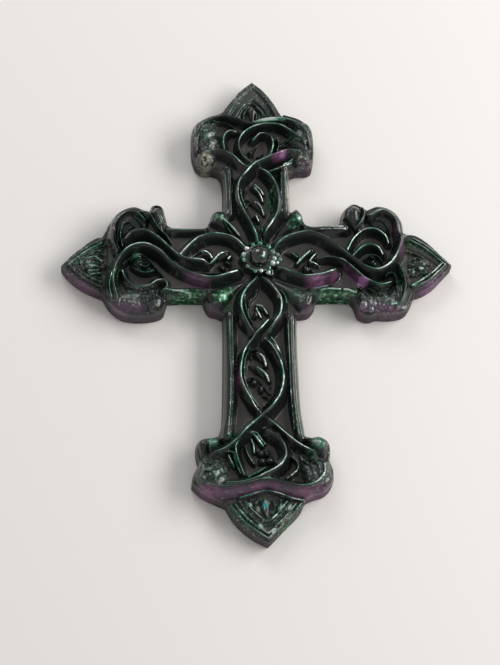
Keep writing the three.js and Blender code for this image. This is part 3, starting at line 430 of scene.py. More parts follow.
# Fine lines on the leaves, capitals and pointed ends
DETAILS = [
    # left capital: spiral lines of the eye
    (HAIR, [(-50.8, -1.5, 12), (-48.6, -0.2, 12.4), (-46, -0.9, 12.4), (-44.6, -2.5, 12.2),
            (-46.4, -3.5, 12.2), (-48.6, -2.7, 12.2)]),
    (HAIR, [(-50.2, -2.9, 12), (-47.8, -1.7, 12.4), (-45.6, -2, 12.4)]),
    (HAIR, [(-52.2, -1, 11.8), (-50.4, 0.6, 12.2), (-48, 0.8, 12.4)]),
    (HAIR, [(-58.4, 15.6, 11.6), (-58.2, 10.6, 11.8), (-56.8, 5, 11.4)]),
    (HAIR, [(-51.4, 20.4, 11.8), (-48.8, 17.6, 11.4), (-46.2, 13.6, 12)]),
    (HAIR, [(-51.8, 16.2, 11), (-51, 14.8, 11.4), (-52.2, 13.8, 11.4), (-50.6, 11.8, 11)]),
    # left capital: outer shell, column, fan of ridges and the curl of its ball
    (LINE, [(-47.7, 22, 11.6), (-46.6, 20.8, 12), (-45.4, 18.4, 11.6)]),
    (LINE, [(-59.6, -6, 12.6), (-60.6, -11, 12), (-59.6, -16.4, 11)]),
    (HAIR, [(-56.8, -4.6, 12.4), (-57.6, -10, 12), (-56.2, -16, 11)]),
    (HAIR, [(-46.6, -14.4, 11.6), (-46.8, -18, 11.8), (-45.4, -22, 9)]),
    (HAIR, [(-44.4, -13.6, 11.6), (-44.2, -17.4, 12.4), (-42.6, -21.6, 9)]),
    (HAIR, [(-43, -15.4, 11.6), (-42.8, -19.4, 12.2), (-40.6, -20.8, 10.4)]),
    (HAIR, [(-41.2, -13.4, 11.4), (-41.6, -16.4, 12), (-40, -18, 10.4)]),
    (LINE, [(-43.4, 23, 12.4), (-43.8, 20, 13.4), (-42.2, 16.4, 13.4), (-40, 12.6, 13.4),
            (-37, 9.4, 13.4), (-35.6, 7, 12.4)]),
    (LINE, [(-41.6, 24.4, 11.6), (-39, 23.8, 12.6), (-38, 20.8, 12.6), (-39, 17.6, 12.6),
            (-40.6, 15, 12.6)]),
    # right capital: bumps on the lower ball, inner arc of the loop
    (HAIR, [(47, 16.8, 10.4), (49, 17.8, 10.8), (51.4, 17.4, 10.8), (53.6, 15, 10.8),
            (54.4, 11.8, 10.4)]),
    (HAIR, [(51.4, -7.8, 12), (52.4, -6.6, 12.2), (54.4, -6.2, 12.2), (55.6, -8, 12), (55.8, -12, 12),
            (56, -17, 11.2)]),
    (GLEAM, [(58.6, -16, 11.8, 0.8), (57, -19.2, 11.4, 0.7), (55.4, -21, 10.6, 0.5)]),
    (BLADE, [(53.4, -19.6, 10.8, 0.9), (55.4, -19.2, 10.8)]),
    (HAIR, [(43.4, 0.4, 10.8), (46, 2, 11.4), (49, 1.4, 11.2), (50.6, -0.6, 10.6)]),
    (HAIR, [(45.8, 1.4, 11), (47.4, 0.4, 11.4), (47, -1.2, 11.2)]),
    (HAIR, [(44.4, -12.6, 11), (47, -14.6, 11.4), (50.4, -15.4, 11)]),
    (HAIR, [(40.6, -12.4, 11), (42.6, -14.6, 11.6), (44.8, -17, 11.4)]),
    (LINE, [(44, 24.4, 11, 0.3), (44.4, 20.4, 12.6), (42.6, 16.6, 13), (40.2, 13, 12.4, 0.3)]),
    (GLEAM, [(66.6, -2.9, 8.8), (67.8, -2.7, 8.8)]),
    (GLEAM, [(61.6, -3.4, 8.4), (62.1, -3.2, 8.4)]),
    # top capital: eye, strap, left curls
    (LINE, [(9.6, 55.4, 11.8), (10, 52, 12.2), (9.2, 48.8, 12)]),
    (GLEAM, [(11.6, 42.6, 12.4), (13.8, 43.8, 12.6), (15.6, 45.4, 12.2)]),
    (HAIR, [(13.4, 53.4, 12), (16, 55.8, 12.6), (19.6, 55, 12.4), (21, 52.8, 11.4)]),
    (HAIR, [(14.6, 53, 12), (17.2, 54.4, 12.8), (19.2, 53.2, 12)]),
    (LINE, [(5.5, 39.4, 12.4), (10.7, 41.6, 12.2), (15, 44, 11.8)]),
    (LINE, [(-24, 50, 11.4), (-23.4, 56, 12.6), (-20.6, 60.4, 12.6), (-16.4, 61.8, 11.8)]),
    (HAIR, [(-21.6, 53.6, 12.4), (-20.4, 57, 13), (-17.2, 58.8, 12.4)]),
    (HAIR, [(-19.2, 52, 12.4), (-17.6, 55.2, 12.8), (-14.8, 56, 12)]),
    (HAIR, [(-17.4, 62.8, 11.8), (-12, 62.4, 11.4), (-8.6, 60.6, 10.8)]),
    (HAIR, [(20.8, 60.4, 12), (22.6, 56.6, 12.4), (23, 52, 11.6)]),
    # top end: border, inner arches, bud and its petals
    (HAIR, [(-9.4, 68, 7.6, 0.8), (-5.6, 74.6, 7.9), (-2.4, 78.4, 7.9, 0.3)]),
    (HAIR, [(10, 68.6, 7.2, 0.5), (7.2, 74.8, 7.4, 0.5), (3, 79.6, 7.7, 0)]),
    (HAIR, [(-6.4, 66.4, 7.8), (-3.9, 70.8, 7.9), (-0.6, 73.8, 7.9), (3, 71, 7.9), (5.6, 66.6, 7.8)]),
    (HAIR, [(-5.6, 65.6, 7.4), (-5.2, 69, 7.8), (-3, 71.8, 7.8)]),
    (HAIR, [(4.2, 65.6, 7.4), (4, 69, 7.8), (1.6, 71.8, 7.8)]),
    (HAIR, [(-3.6, 65, 7.4), (-3.8, 68.4, 8), (-1.2, 71.4, 8.2), (1.4, 68.4, 8), (1.2, 65, 7.4)]),
    # left end: bands along the borders, almond leaf with a comb of short ridges below it
    (LINE, [(-64.6, -12.2, 7.6, 0), (-70, -9.6, 7.6, 0), (-75, -5.8, 7.6, 0), (-78.6, -2, 7.6, 0)]),
    (LINE, [(-64, -8.4, 8), (-67, -7, 8, 0.8), (-70, -5.2, 8, 0), (-73.6, -2.4, 8, 0.4)]),
    (HAIR, [(-62.6, 10.6, 7.8), (-70, 6.6, 8), (-77, 0.4, 7.6)]),
    (HAIR, [(-62.2, 8, 8), (-69, 4.6, 8.4), (-75.2, -0.4, 8)]),
    (HAIR, [(-63.4, 6.4, 7.8), (-69.4, 3.2, 8), (-74, -0.6, 7.6)]),
    (HAIR, [(-68.6, 4, 7.6), (-66.4, 5.2, 8), (-63.8, 5.2, 7.6)]),
    (HAIR, [(-67.6, 2.8, 7.8), (-65.4, 4, 8.2), (-62.6, 3.4, 7.8)]),
    (GLEAM, [(-72.2, -0.2, 8), (-69.8, 1.6, 8.8), (-66.6, 2.2, 9.2), (-63.4, 0.6, 8.4)]),
    (HAIR, [(-71, -0.4, 8), (-68.6, 0.9, 9.2), (-65.6, 1, 9.4), (-62.6, -1, 8.4)]),
    (HAIR, [(-70.8, -1.4, 8), (-68, -0.6, 9.4), (-65, -0.6, 9.4), (-62.4, -1.8, 8.4)]),
    (HAIR, [(-71, -2, 8), (-68.4, -2.4, 9), (-65, -2, 9.2), (-62.6, -2.2, 8.4)]),
    (GLEAM, [(-69, -3.6, 8.2), (-67, -3.6, 8.8), (-65, -3.2, 8.6)]),
    (GLEAM, [(-68.4, -5, 8), (-66.4, -4.9, 8.6), (-64.6, -4.6, 8.2)]),
    (HAIR, [(-67.6, -6.2, 8), (-65.8, -6.4, 8.4), (-64.2, -6.8, 8)]),
    (HAIR, [(-66.8, -7.2, 8), (-65.2, -8, 8.2), (-63.8, -9.2, 7.8)]),
    # right end: double border below, arcs round the bud
    (GLEAM, [(62.6, -10.4, 8.8), (66, -8.4, 8.8, 1.3), (70, -5.6, 8.8, 0.7), (73.6, -2.6, 8.8, 1.2),
             (75.6, -0.4, 8.6)]),
    (LINE, [(64.6, 11.2, 7.6), (70, 7.8, 7.6), (75.4, 2.6, 7.6), (78.4, -0.4, 7.6)]),
    (HAIR, [(61.4, 5.6, 7.6), (66, 3.6, 7.8), (70.6, -0.4, 7.6)]),
    (HAIR, [(60.6, 10.8, 8), (61.4, 8, 8.4), (60.8, 5, 8.2)]),
    (HAIR, [(61.6, 0.4, 7.6), (65.4, 1.9, 8.6), (69.6, -0.6, 8)]),
    (HAIR, [(62, -1.4, 7.6), (65.6, 0.3, 8.9), (68.8, -1.8, 8.2)]),
    (HAIR, [(62.4, -3.4, 7.8), (65.4, -2, 8.8), (68.2, -3.4, 8)]),
    (HAIR, [(63, -5.6, 7.6), (66.6, -4.6, 8.2), (69.4, -4.6, 7.8)]),
    # pale scalloped line under the rim, above the bottom end
    (GLEAM, [(-10.4, -100.2, 9), (-6, -98.9, 9.2), (0, -97.6, 9.4), (5, -98.6, 9.2), (10, -100.6, 9),
             (15, -101.4, 8.4)]),
    # bottom end: chevrons and the petals of the bloom
    (HAIR, [(-11, -101.4, 7.8), (-7.6, -106, 8), (-1, -111.4, 8), (6.6, -105.4, 8),
            (9.6, -101.4, 7.8)]),
    (LINE, [(-14, -103, 7.8), (-9.4, -109, 7.8), (-4, -113.6, 7.8), (0.3, -116.4, 7.8)]),
    (LINE, [(13.4, -102.4, 7.8), (9.2, -107.8, 7.8), (4, -112.8, 7.8), (0.3, -116.4, 7.8)]),
    (HAIR, [(-3, -100.4, 8.2), (-4.4, -103, 8.8), (-3.9, -106, 8)]),
    (HAIR, [(-1.4, -103, 8.4), (-1.2, -105, 8.8), (-0.2, -107.2, 8)]),
    (HAIR, [(2.6, -101.4, 8.4), (3.2, -103.6, 8.8), (2.2, -106.4, 8)]),
    (HAIR, [(-6.4, -100.6, 8), (-6.2, -103, 8.6), (-4.6, -104.6, 8)]),
    (HAIR, [(5.6, -100.8, 8), (5.4, -103, 8.6), (4, -105, 8)]),
    # bottom capital: wedge bands, leaf lines, and a short line beside the ring
    (GLEAM, [(-14.6, -83.8, 12), (-13.8, -86, 12.2), (-12.5, -88.4, 11.8)]),
    (LINE, [(-16, -82.4, 11.8, 0.6), (-14, -82.3, 12.2), (-12.2, -82.8, 12, 0.5)]),
    (LINE, [(-12.4, -84.6, 11.4, 0.7), (-11.4, -88, 11.6, 0.9), (-10, -91, 11, 0.6)]),
    (HAIR, [(-24, -86.4, 12), (-21.6, -87.4, 12.4), (-18.4, -86, 11.8)]),
    (HAIR, [(-25, -89.6, 12), (-21.4, -90.4, 12.8), (-17, -88.2, 12)]),
    (HAIR, [(-24, -93, 12), (-20, -93, 12.6), (-15.4, -90.4, 11.8)]),
    (HAIR, [(14.6, -86, 11.6), (17.4, -88.6, 12.4), (18.6, -93, 12)]),
    (HAIR, [(17.4, -84.6, 11.8), (20.2, -88, 12.6), (21, -93, 12)]),
    (HAIR, [(14, -89.4, 11.4), (16, -91.4, 12), (16.4, -94, 11.6)]),
    (LINE, [(10.4, -84.6, 11.4), (12.6, -87.6, 12), (11.4, -91, 11.4), (8, -93.2, 11)]),
    # twin lines down the upper left lobe, one down the lower right
    (BLADE, [(-13.8, 17.3, 13, 0.8), (-11.4, 15, 12.8), (-9.4, 12.8, 12.4, 0.9),
             (-7.7, 10.5, 11.8, 0.5)]),
    (LINE, [(-13.8, 16.4, 12.8, 0.6), (-12.6, 14.2, 12.5, 0.9), (-11.3, 11.9, 12)]),
    (GLEAM, [(8.7, -13.8, 11.6), (10, -16, 11.6), (10.7, -18.8, 11.2)]),
    (LINE, [(18.2, -14.6, 12.2, 0.8), (19.2, -16.6, 12.2), (18.6, -19.6, 11, 0.4)]),
]

# Raised masses of the capitals: centre, half lengths, turn in degrees, level
MASSES = [
    ((-50.6, -17.4), (9.6, 5.2), 8, 10.4),
    ((50, -18.2), (10.4, 4.4), -4, 10.2),
    ((57.4, -14.6), (4.6, 6), -30, 10.4),
    ((-21, -91), (6.6, 6.4), -20, 11.2),
    ((20.4, -91.4), (6, 6.6), 15, 11.2),
    ((-20.4, 56), (5, 8.4), 5, 11),
    ((20.4, 57), (4.4, 7.6), -10, 10.8),
    ((-52, 18), (8, 6.6), 20, 10.2),
    ((52, 19), (8, 6), -25, 10.2),
]

# Small ovals in the weave: centre, half lengths, turn in degrees, top
OVALS = [
    ((-12.6, -1.2), (2, 1.2), -30, 10.8),
    ((-15, -3.4), (2, 1.2), -40, 10.8),
    ((19.3, -3.8), (1.8, 2.2), 20, 10.8),
    ((-1.9, -23.8), (1.3, 2.1), -20, 10.4),
    ((-3.5, -52.9), (1.6, 1.9), -25, 10.6),
    ((-0.8, -55.8), (1.3, 2.1), 0, 10.6),
    ((0.8, -58.8), (1.4, 0.8), -15, 10),
    ((-4.3, -42.2), (0.8, 1.2), -10, 9.4),
    ((2.9, -54.8), (0.5, 0.5), 0, 9.2),
    ((-1.8, -82.6), (1.8, 1.7), 0, 11),
    ((0.5, -82.8), (1.3, 1.3), 0, 10.8),
    ((-1.4, -85.9), (1.9, 1.8), 0, 11),
    ((1.6, -85.7), (2.2, 1.7), 10, 11),
]

# Highlights that stand as fine creases on the leaves, and the fine lines round them
CREASES = [
    # left arm
    (BLADE, [(-23, 4, 10.2, 0.8), (-21.8, 4, 10.8), (-20, 2.6, 11.2), (-18.9, 1.1, 10.2)]),
    (BLADE, [(-19.6, -1.5, 10.8, 0.5), (-17.9, 0.2, 11.2), (-16.1, 2.2, 11.4), (-14.6, 3.3, 11),
             (-12.6, 3.9, 10.2, 0.4)]),
    (BLADE, [(-12.4, 0.7, 10.6, 0.8), (-11.5, 1.8, 10.4, 0.7)]),
    (WIRE, [(-27.1, -5.6, 12.2), (-24.1, -6.4, 12.2), (-20.1, -6.6, 12), (-16.1, -6.4, 12)]),
    # right arm
    (BLADE, [(15.6, -1.6, 10.8, 0.6), (17.4, 0.4, 11.2), (19, 2, 11.4, 0.9), (21.2, 4.2, 10.8, 0.5)]),
    (GLEAM, [(20.9, -0.2, 10), (22, 1.4, 10.4), (23.7, 3.3, 10)]),
    (GLEAM, [(13.9, 3.1, 10.6), (15.8, 1.3, 10.8)]),
    (GLEAM, [(21.2, -0.8, 10.6), (22.6, -1.2, 10.8), (24, -2, 10.4)]),
    (GLEAM, [(21.2, -12.2, 9.4, 1.2), (24, -11.8, 9.6, 0.6), (27.2, -10.9, 9.4, 1.3)]),
    (HAIR, [(33.3, -5.4, 9.6), (32.9, -7.8, 9.6, 1.6), (31.4, -9.6, 9.4), (29.2, -10.8, 9.2)]),
    (WIRE, [(17, -5, 9), (18, -3, 9.4), (19.4, -2.4, 9.6), (21, -3.4, 9.4), (22.8, -5.4, 9)]),
    # top arm
    (GLEAM, [(-0.4, 34, 10.8), (1.8, 31.6, 11), (2.8, 29.8, 10.4)]),
    (GLEAM, [(-0.6, 32.2, 11.2), (1, 30.4, 11.2), (2, 28.4, 10.6), (2.6, 26.8, 9.8)]),
    (GLEAM, [(0.2, 25.8, 11.2), (1.6, 24, 11), (2.4, 22, 10.4), (2.9, 20.8, 9.6)]),
    (GLEAM, [(-0.4, 19.8, 10.8), (0.6, 17.6, 10.4)]),
    (WIRE, [(-4.6, 28, 9), (-3, 27.4, 9.4), (-2.6, 26.4, 9.6), (-3.8, 25, 9.4), (-4.2, 23.5, 9)]),
    (WIRE, [(-4.1, 32, 9.4), (-4.9, 29.4, 10), (-5.1, 27.1, 9.6)]),
    (GLEAM, [(2, 15, 10), (1.9, 12.6, 10.4)]),
    (LINE, [(-6.5, 31, 12.8), (-6.4, 28.5, 12.8), (-5.8, 26, 12.7), (-4.6, 22.6, 12.4)]),
    # petals round the foot of the boss
    (LINE, [(-5.4, -3.6, 12), (-2.8, -5.2, 12.6), (0.4, -5.8, 12.8), (3.2, -5.2, 12.6)]),
    (LINE, [(3.6, -5, 12.4), (5.4, -5.4, 12.2), (5.2, -7, 11.8), (3.2, -6.8, 12.2)]),
    (LINE, [(5, 5.2, 12.2), (6.3, 3, 12.4), (6.7, 0.6, 12.2)]),
    (LINE, [(-6.4, 2.6, 12), (-7.3, 0.6, 12.2), (-6.4, -1.4, 12)]),
    (LINE, [(-4.4, 5.9, 12.2), (-2, 7, 12.4), (1, 7.4, 12.4), (4, 6.2, 12.2)]),
    # shaft, upper opening
    (LINE, [(-6, -15.6, 12.4), (-6.2, -18.6, 12.4), (-5.7, -22.6, 12.2), (-4.8, -25.5, 12),
            (-3.5, -27.8, 11.4)]),
    (WIRE, [(-0.6, -11.8, 9), (-1.9, -15.6, 9.2), (-3.8, -17.7, 9.4), (-4.5, -19.6, 9.6),
            (-4.6, -23.7, 9.4), (-3.5, -27.2, 9)]),
    (GLEAM, [(-1.3, -19.6, 10), (0.5, -20.1, 10.6), (2.7, -23.4, 10.4)]),
    (GLEAM, [(-1.6, -20.8, 9.6), (-0.8, -22.6, 9.8), (0.2, -24.6, 9.2)]),
    # shaft, lower opening
    (LINE, [(-4.8, -38.9, 12.6), (-5.7, -40.9, 12.6), (-6.8, -43.5, 12.6), (-7.4, -48.5, 12.6),
            (-7.3, -52.2, 12.6), (-6.2, -56.3, 12.6), (-4.5, -60.1, 12.4), (-2.2, -63.6, 12)]),
    (BLADE, [(-1.6, -40.8, 10.6, 0.4), (0, -41.8, 11.2, 0.8), (1, -44, 11), (1.4, -46, 10.2, 0.5)]),
    (WIRE, [(-6, -41, 9.6), (-4.5, -39.4, 10), (-2.4, -38.6, 10)]),
    (BLADE, [(-2.2, -46.6, 10.6, 0.4), (-0.4, -48, 11, 0.8), (1.4, -50, 10.8), (2.4, -52.4, 10, 0.6)]),
    (WIRE, [(-6, -52.4, 9), (-4.4, -50.6, 9.4), (-2, -51.6, 9.4), (0, -54, 9.4), (2.4, -57.4, 9.2)]),
    (WIRE, [(3.9, -57.4, 9.4), (3, -59.6, 9.8), (0, -63.4, 10)]),
    (GLEAM, [(5, -31.8, 9.2), (4.1, -33.4, 9.4), (4.9, -34.4, 9.4), (6.2, -36.8, 9.2),
             (8.2, -41.4, 9)]),
    # ring of the bottom capital
    (BLADE, [(-4.3, -75, 10.8, 0.7), (-2.7, -77.2, 11.2), (-0.9, -79.6, 10.4, 0.6)]),
    (GLEAM, [(-4.4, -73.6, 10.2), (-3, -74.4, 10.6), (-1.6, -76.6, 10.4), (0, -78.6, 9.8)]),
    (GLEAM, [(-5.4, -76.7, 10), (-4.7, -78.9, 10.2), (-4.4, -82.2, 9.8)]),
    (LINE, [(-7.8, -80.1, 11.6), (-7.2, -82.9, 12), (-6.1, -85.3, 11.8), (-4.7, -87.1, 11)]),
    (GLEAM, [(-0.6, -89.2, 12.4), (-3.7, -91.1, 12.2), (-5.5, -91.8, 12), (-7, -92.7, 11.6)]),
    (GLEAM, [(11.9, -90.4, 12), (9.5, -92.4, 12)]),
]

# Sunk panels inside the borders of the pointed ends: corners and level
PANELS = [
    ([(-7.2, 64), (-4.6, 71.2), (0, 75.2), (4.4, 71.2), (6.8, 64)], 6.1),
    ([(60.6, 7.6), (67, 5), (73, 0.6), (74.4, -1), (72, -4), (68, -7.2), (61.4, -9.4)], 6.2),
    ([(-61, 7.6), (-67.6, 4.8), (-73.4, 0.4), (-74, -1.4), (-71, -3.8), (-67, -6.2), (-61, -8.2)], 6.3),
    ([(-8.6, -99), (-8.2, -101.8), (-4.4, -106.4), (0, -109.6), (4.2, -106.4), (7.8, -101.8),
      (8.2, -99)], 6.2),
]


def smooth_line(points, step=0.5):
    """A centripetal curve through the points: plan, height, and brightness of pigment and painted
    highlight.
    """
    marks = np.array([[*p, 0.0, 1.0] if len(p) == 2 else [*p, 1.0][:4] for p in points], float)
    marks = np.vstack([2 * marks[0] - marks[1], marks, 2 * marks[-1] - marks[-2]])
    stretches = []
    for a, b, c, d in zip(marks, marks[1:], marks[2:], marks[3:]):
        before, across, after = (max(np.linalg.norm(q - p), 1e-6) ** 0.5
                                 for p, q in ((a, b), (b, c), (c, d)))
        leave = ((b - a) / before - (c - a) / (before + across) + (c - b) / across) * across
        arrive = ((c - b) / across - (d - b) / (across + after) + (d - c) / after) * across
        count = max(2, math.ceil(np.linalg.norm(c - b) / step))
        t = (np.arange(count) / count)[:, None]
        stretches.append((2 * t**3 - 3 * t**2 + 1) * b + (t**3 - 2 * t**2 + t) * leave
                         + (3 * t**2 - 2 * t**3) * c + (t**3 - t**2) * arrive)
    stretches.append(marks[-2:-1])
    return np.vstack(stretches)


x_line = np.arange(-82.0, 82.0, GRID)
y_line = np.arange(-120.0, 86.0, GRID)
plan_x, plan_y = np.meshgrid(x_line, y_line)


def window(low, high):
    """The part of the plan grid between two corners."""
    columns = slice(*np.searchsorted(x_line, (low[0], high[0])))
    rows = slice(*np.searchsorted(y_line, (low[1], high[1])))
    return rows, columns


def follow(line, reach):
    """How far the plan is from a line, and the line's height and brightness of pigment and painted
    highlight there.

    The last value is 1 where the plan lies straight up the cross from the line, and -1 below it.
    """
    area = window(line[:, :2].min(0) - reach, line[:, :2].max(0) + reach)
    x, y = plan_x[area], plan_y[area]
    near = np.full(x.shape, 99.0)
    level = np.zeros(x.shape)
    gleam = np.zeros(x.shape)
    lean = np.zeros(x.shape)
    for (ax, ay, ah, ag), (bx, by, bh, bg) in zip(line, line[1:]):
        columns = slice(*np.searchsorted(x[0], (min(ax, bx) - reach, max(ax, bx) + reach)))
        rows = slice(*np.searchsorted(y[:, 0], (min(ay, by) - reach, max(ay, by) + reach)))
        run = math.hypot(bx - ax, by - ay)
        if run < 1e-9:
            continue
        part = (rows, columns)
        u, v = x[part] - ax, y[part] - ay
        t = np.clip((u * (bx - ax) + v * (by - ay)) / run**2, 0, 1)
        gap = np.hypot(u - t * (bx - ax), v - t * (by - ay))
        closer = gap < near[part]
        near[part] = np.where(closer, gap, near[part])
        level[part] = np.where(closer, ah + t * (bh - ah), level[part])
        gleam[part] = np.where(closer, ag + t * (bg - ag), gleam[part])
        lean[part] = np.where(closer, (v - t * (by - ay)) / np.maximum(gap, 1e-6), lean[part])
    return area, near, level, gleam, lean


def enclosed(line):
    """Which points of the plan a closed line goes round."""
    within = np.zeros(plan_x.shape, bool)
    for a, b in zip(line, np.roll(line, -1, axis=0)):
        if a[1] == b[1]:
            continue
        low, high = (a, b) if a[1] < b[1] else (b, a)
        rows = slice(*np.searchsorted(y_line, (low[1], high[1])))
        share = (y_line[rows] - low[1]) / (high[1] - low[1])
        crossing = low[0] + share * (high[0] - low[0])
        within[rows] ^= x_line[None, :] > crossing[:, None]
    return within


def smoother(a, b, reach):
    """The higher of two heights, with a fillet of that reach where they meet."""
    return np.maximum(a, b) + reach * np.clip(1 - np.abs(a - b) / reach, 0, 1) ** 2 / 4


def raise_to(area, shape, fillet=0.5):
    """Raise the surface to a shape where the shape is higher, and note that it isn't ground."""
    raised[area] |= shape > height[area] + 0.05
    height[area] = smoother(height[area], shape, fillet)


# outline of the casting, and how far each point of the plan lies inside it
rim = np.vstack([smooth_line(stretch, 0.4)[:-1] for stretch in OUTLINE])
inside = enclosed(rim)
edge_gap = np.full(plan_x.shape, 9.0)
area, near, *_ = follow(np.vstack([rim, rim[:1]]), 8.0)
edge_gap[area] = np.minimum(near, 9.0)
depth_in = np.where(inside, edge_gap, 0.0)

# slab: sunk ground, lower faces on the four pointed ends
height = np.full(plan_x.shape, float(GROUND))
raised = np.zeros(plan_x.shape, bool)
# where each pointed end starts, which way it points, and half its width there
ENDS = [((0, 63.6), (0, 1), 11), ((61, 0), (1, 0), 17), ((0, -95.4), (0, -1), 17),
        ((-61.6, 0), (-1, 0), 17)]
END_SPREAD = 2.6              # how steeply an end that starts narrow widens to its full width
END_REACH = 17                # no end is wider than this to either side
end_zone = np.zeros(plan_x.shape, bool)
for (at_x, at_y), (out_x, out_y), end_half in ENDS:
    beyond = (plan_x - at_x) * out_x + (plan_y - at_y) * out_y
    aside = np.abs((plan_x - at_x) * out_y - (plan_y - at_y) * out_x)
    end_zone |= beyond > END_SPREAD * np.clip(aside - end_half, 0, None) + 20 * (aside > END_REACH)
height[end_zone] = TIP_FACE

# the top end falls away from a middle ridge
RIDGE_TOP = 7.7
RIDGE_SLOPE = 0.15
roof = RIDGE_TOP - RIDGE_SLOPE * np.abs(plan_x)
height = np.where((plan_y > 63) & end_zone, roof, height)

for corners, level in PANELS:
    line = np.array([(x, y, level, 1.0) for x, y in corners])
    panel = enclosed(line)
    area, near, *_ = follow(np.vstack([line, line[:1]]), 2.0)
    sunk = np.ones(plan_x.shape)
    sunk[area] = np.clip(near / 0.5, 0, 1)
    height = np.where(panel, height + (level - height) * sunk, height)


def around(centre, half, turn, area):
    """Where the plan lies on the two axes of a turned oval, with its edge at one."""
    c, s = math.cos(math.radians(turn)), math.sin(math.radians(turn))
    u = ((plan_x[area] - centre[0]) * c + (plan_y[area] - centre[1]) * s) / half[0]
    v = ((plan_y[area] - centre[1]) * c - (plan_x[area] - centre[0]) * s) / half[1]
    return u, v


SQUARENESS = 2.6              # 2 would make a mass a plain oval in plan


def mass(centre, half, turn, level):
    """A low raised mass with rounded sides."""
    reach = max(half) + 1
    area = window((centre[0] - reach, centre[1] - reach), (centre[0] + reach, centre[1] + reach))
    u, v = around(centre, half, turn, area)
    out = (np.abs(u) ** SQUARENESS + np.abs(v) ** SQUARENESS) ** (1 / SQUARENESS)
    dome = GROUND - 1 + (level - GROUND + 1) * np.sqrt(np.clip(1 - out**2, 0, 1))
    raise_to(area, np.where(out < 1, dome, 0))


for centre, half, turn, level in MASSES:
    mass(centre, half, turn, level)

# bright pigment on the crests, which also paints the highlights along them
crest_pigment_and_highlight = np.zeros(plan_x.shape)
DROOP = 0.2                   # how much wider the flanks are on the side that faces down the cross


def ridge(section, path, floor=GROUND - 0.4):
    """A raised strand with a narrow crest and straight flanks that spread at the foot.

    It also marks how bright the pigment and its painted highlight are along the crest, and clears
    that mark where the strand covers one that was laid before.
    """
    foot, crest, shine = section
    area, near, level, gleam, lean = follow(smooth_line(path), foot * (1 + DROOP) + 0.8)
    run = foot * (1 - DROOP * lean)
    fall = np.clip((near - crest) / (run - crest), 0, 1)
    fall = 0.62 * fall + 0.38 * fall * fall * (3 - 2 * fall)
    base = np.minimum(floor, level - 0.8)
    shape = np.where(near < run, level - (level - base) * fall, 0)
    on_top = shape > height[area] - 0.1
    line = shine * gleam * np.exp(-(near / (crest + 0.1)) ** 2)
    kept = crest_pigment_and_highlight[area] * (shape < height[area] + 0.15)
    crest_pigment_and_highlight[area] = np.where(on_top, np.maximum(line, kept), kept)
    raise_to(area, shape)


TAPER = 0.55                  # how much narrower and lower a leaf is at its tail


def leaf(head, tail, half, top):
    """A ball drawn out towards its tail."""
    reach = math.hypot(tail[0] - head[0], tail[1] - head[1])
    along = ((tail[0] - head[0]) / reach, (tail[1] - head[1]) / reach)
    spread = reach + 2 * half
    area = window((head[0] - spread, head[1] - spread), (head[0] + spread, head[1] + spread))
    x, y = plan_x[area] - head[0], plan_y[area] - head[1]
    s = x * along[0] + y * along[1]
    w = y * along[0] - x * along[1]
    towards_tail = (np.sqrt(half**2 + 4 * reach * np.clip(s, 0, None)) - half) / (2 * reach)
    share = np.where(s > 0, towards_tail, s / half)
    waist = np.where(s > 0, 1 - TAPER * np.clip(share, 0, 1), 1)
    out = share**2 + (w / (half * waist)) ** 2
    ball = LEAF_ROOT + (top - LEAF_ROOT) * waist * np.sqrt(np.clip(1 - out, 0, 1))
    raise_to(area, np.where(out < 1, ball, 0), 0.35)


for section, path in RAILS:
    ridge(section, path)
for head, tail, half, top in LEAVES:
    leaf(head, tail, half, top)
for centre, half, turn, level in OVALS:
    mass(centre, half, turn, level)
for section, path in RIMS + STRANDS:
    ridge(section, path)
for section, path in RAIL_LINES + CREASES:
    ridge(section, path, floor=GROUND)
FINE_FLOOR = 6.4              # foot of the fine lines, which also lie on the lower pointed ends
for section, path in BORDERS + DETAILS:
    ridge(section, path, floor=FINE_FLOOR)

# ring below the boss
from_boss = np.hypot(plan_x, plan_y)
COLLAR_FLAT = 5.6             # radius of its level part
COLLAR_DROP = 4.0
ring_share = np.clip((from_boss - COLLAR_FLAT) / (COLLAR_RADIUS - COLLAR_FLAT), 0, 1)
ring = COLLAR - COLLAR_DROP * ring_share**1.6
height = smoother(height, np.where(from_boss < COLLAR_RADIUS, ring, 0), 0.5)


def quarter_round(width):
    """From nought at the edge of the casting to one at that width, as a quarter of a circle."""
    return np.sqrt(1 - (1 - np.clip(depth_in / width, 0, 1)) ** 2)


# everything rounds off towards the edge of the casting: the slab over a narrow strip, and the forms
# that stand near the edge over a wider one
SLAB_ROUND = 1.2
FORM_ROUND = 2.6
slab_limit = WALL_EDGE + 1.6 * quarter_round(SLAB_ROUND)
bulge = WALL_EDGE - 0.6 + 6.8 * quarter_round(FORM_ROUND)
bulge = np.where(depth_in > FORM_ROUND, bulge + (depth_in - FORM_ROUND) * 2.2, bulge)
limit = np.maximum(slab_limit, bulge)
height = -smoother(-height, -limit, 0.6)

# masks for the finish
RIM_CLEAR = 1.0               # the charcoal of the ground starts this far inside the outline
RIM_FADE = 0.8
ground_mask = np.where(raised, 0.0, 1.0) * np.clip((depth_in - RIM_CLEAR) / RIM_FADE, 0, 1)
for _ in range(2):
    ground_mask[1:-1, 1:-1] = (ground_mask[1:-1, 1:-1] + ground_mask[:-2, 1:-1]
                               + ground_mask[2:, 1:-1] + ground_mask[1:-1, :-2]
                               + ground_mask[1:-1, 2:]) / 5


def patch(centre, half, turn):
    """A soft oval patch on the plan, one at its middle."""
    u, v = around(centre, half, turn, np.s_[:, :])
    return np.clip(1.6 - 1.6 * np.hypot(u, v), 0, 1)


def patches(rows):
    """A mask of patches. Each row ends with the strength of its patch."""
    mask = np.zeros(plan_x.shape)
    for centre, half, turn, strength in rows:
        mask = np.maximum(mask, strength * patch(centre, half, turn))
    return mask
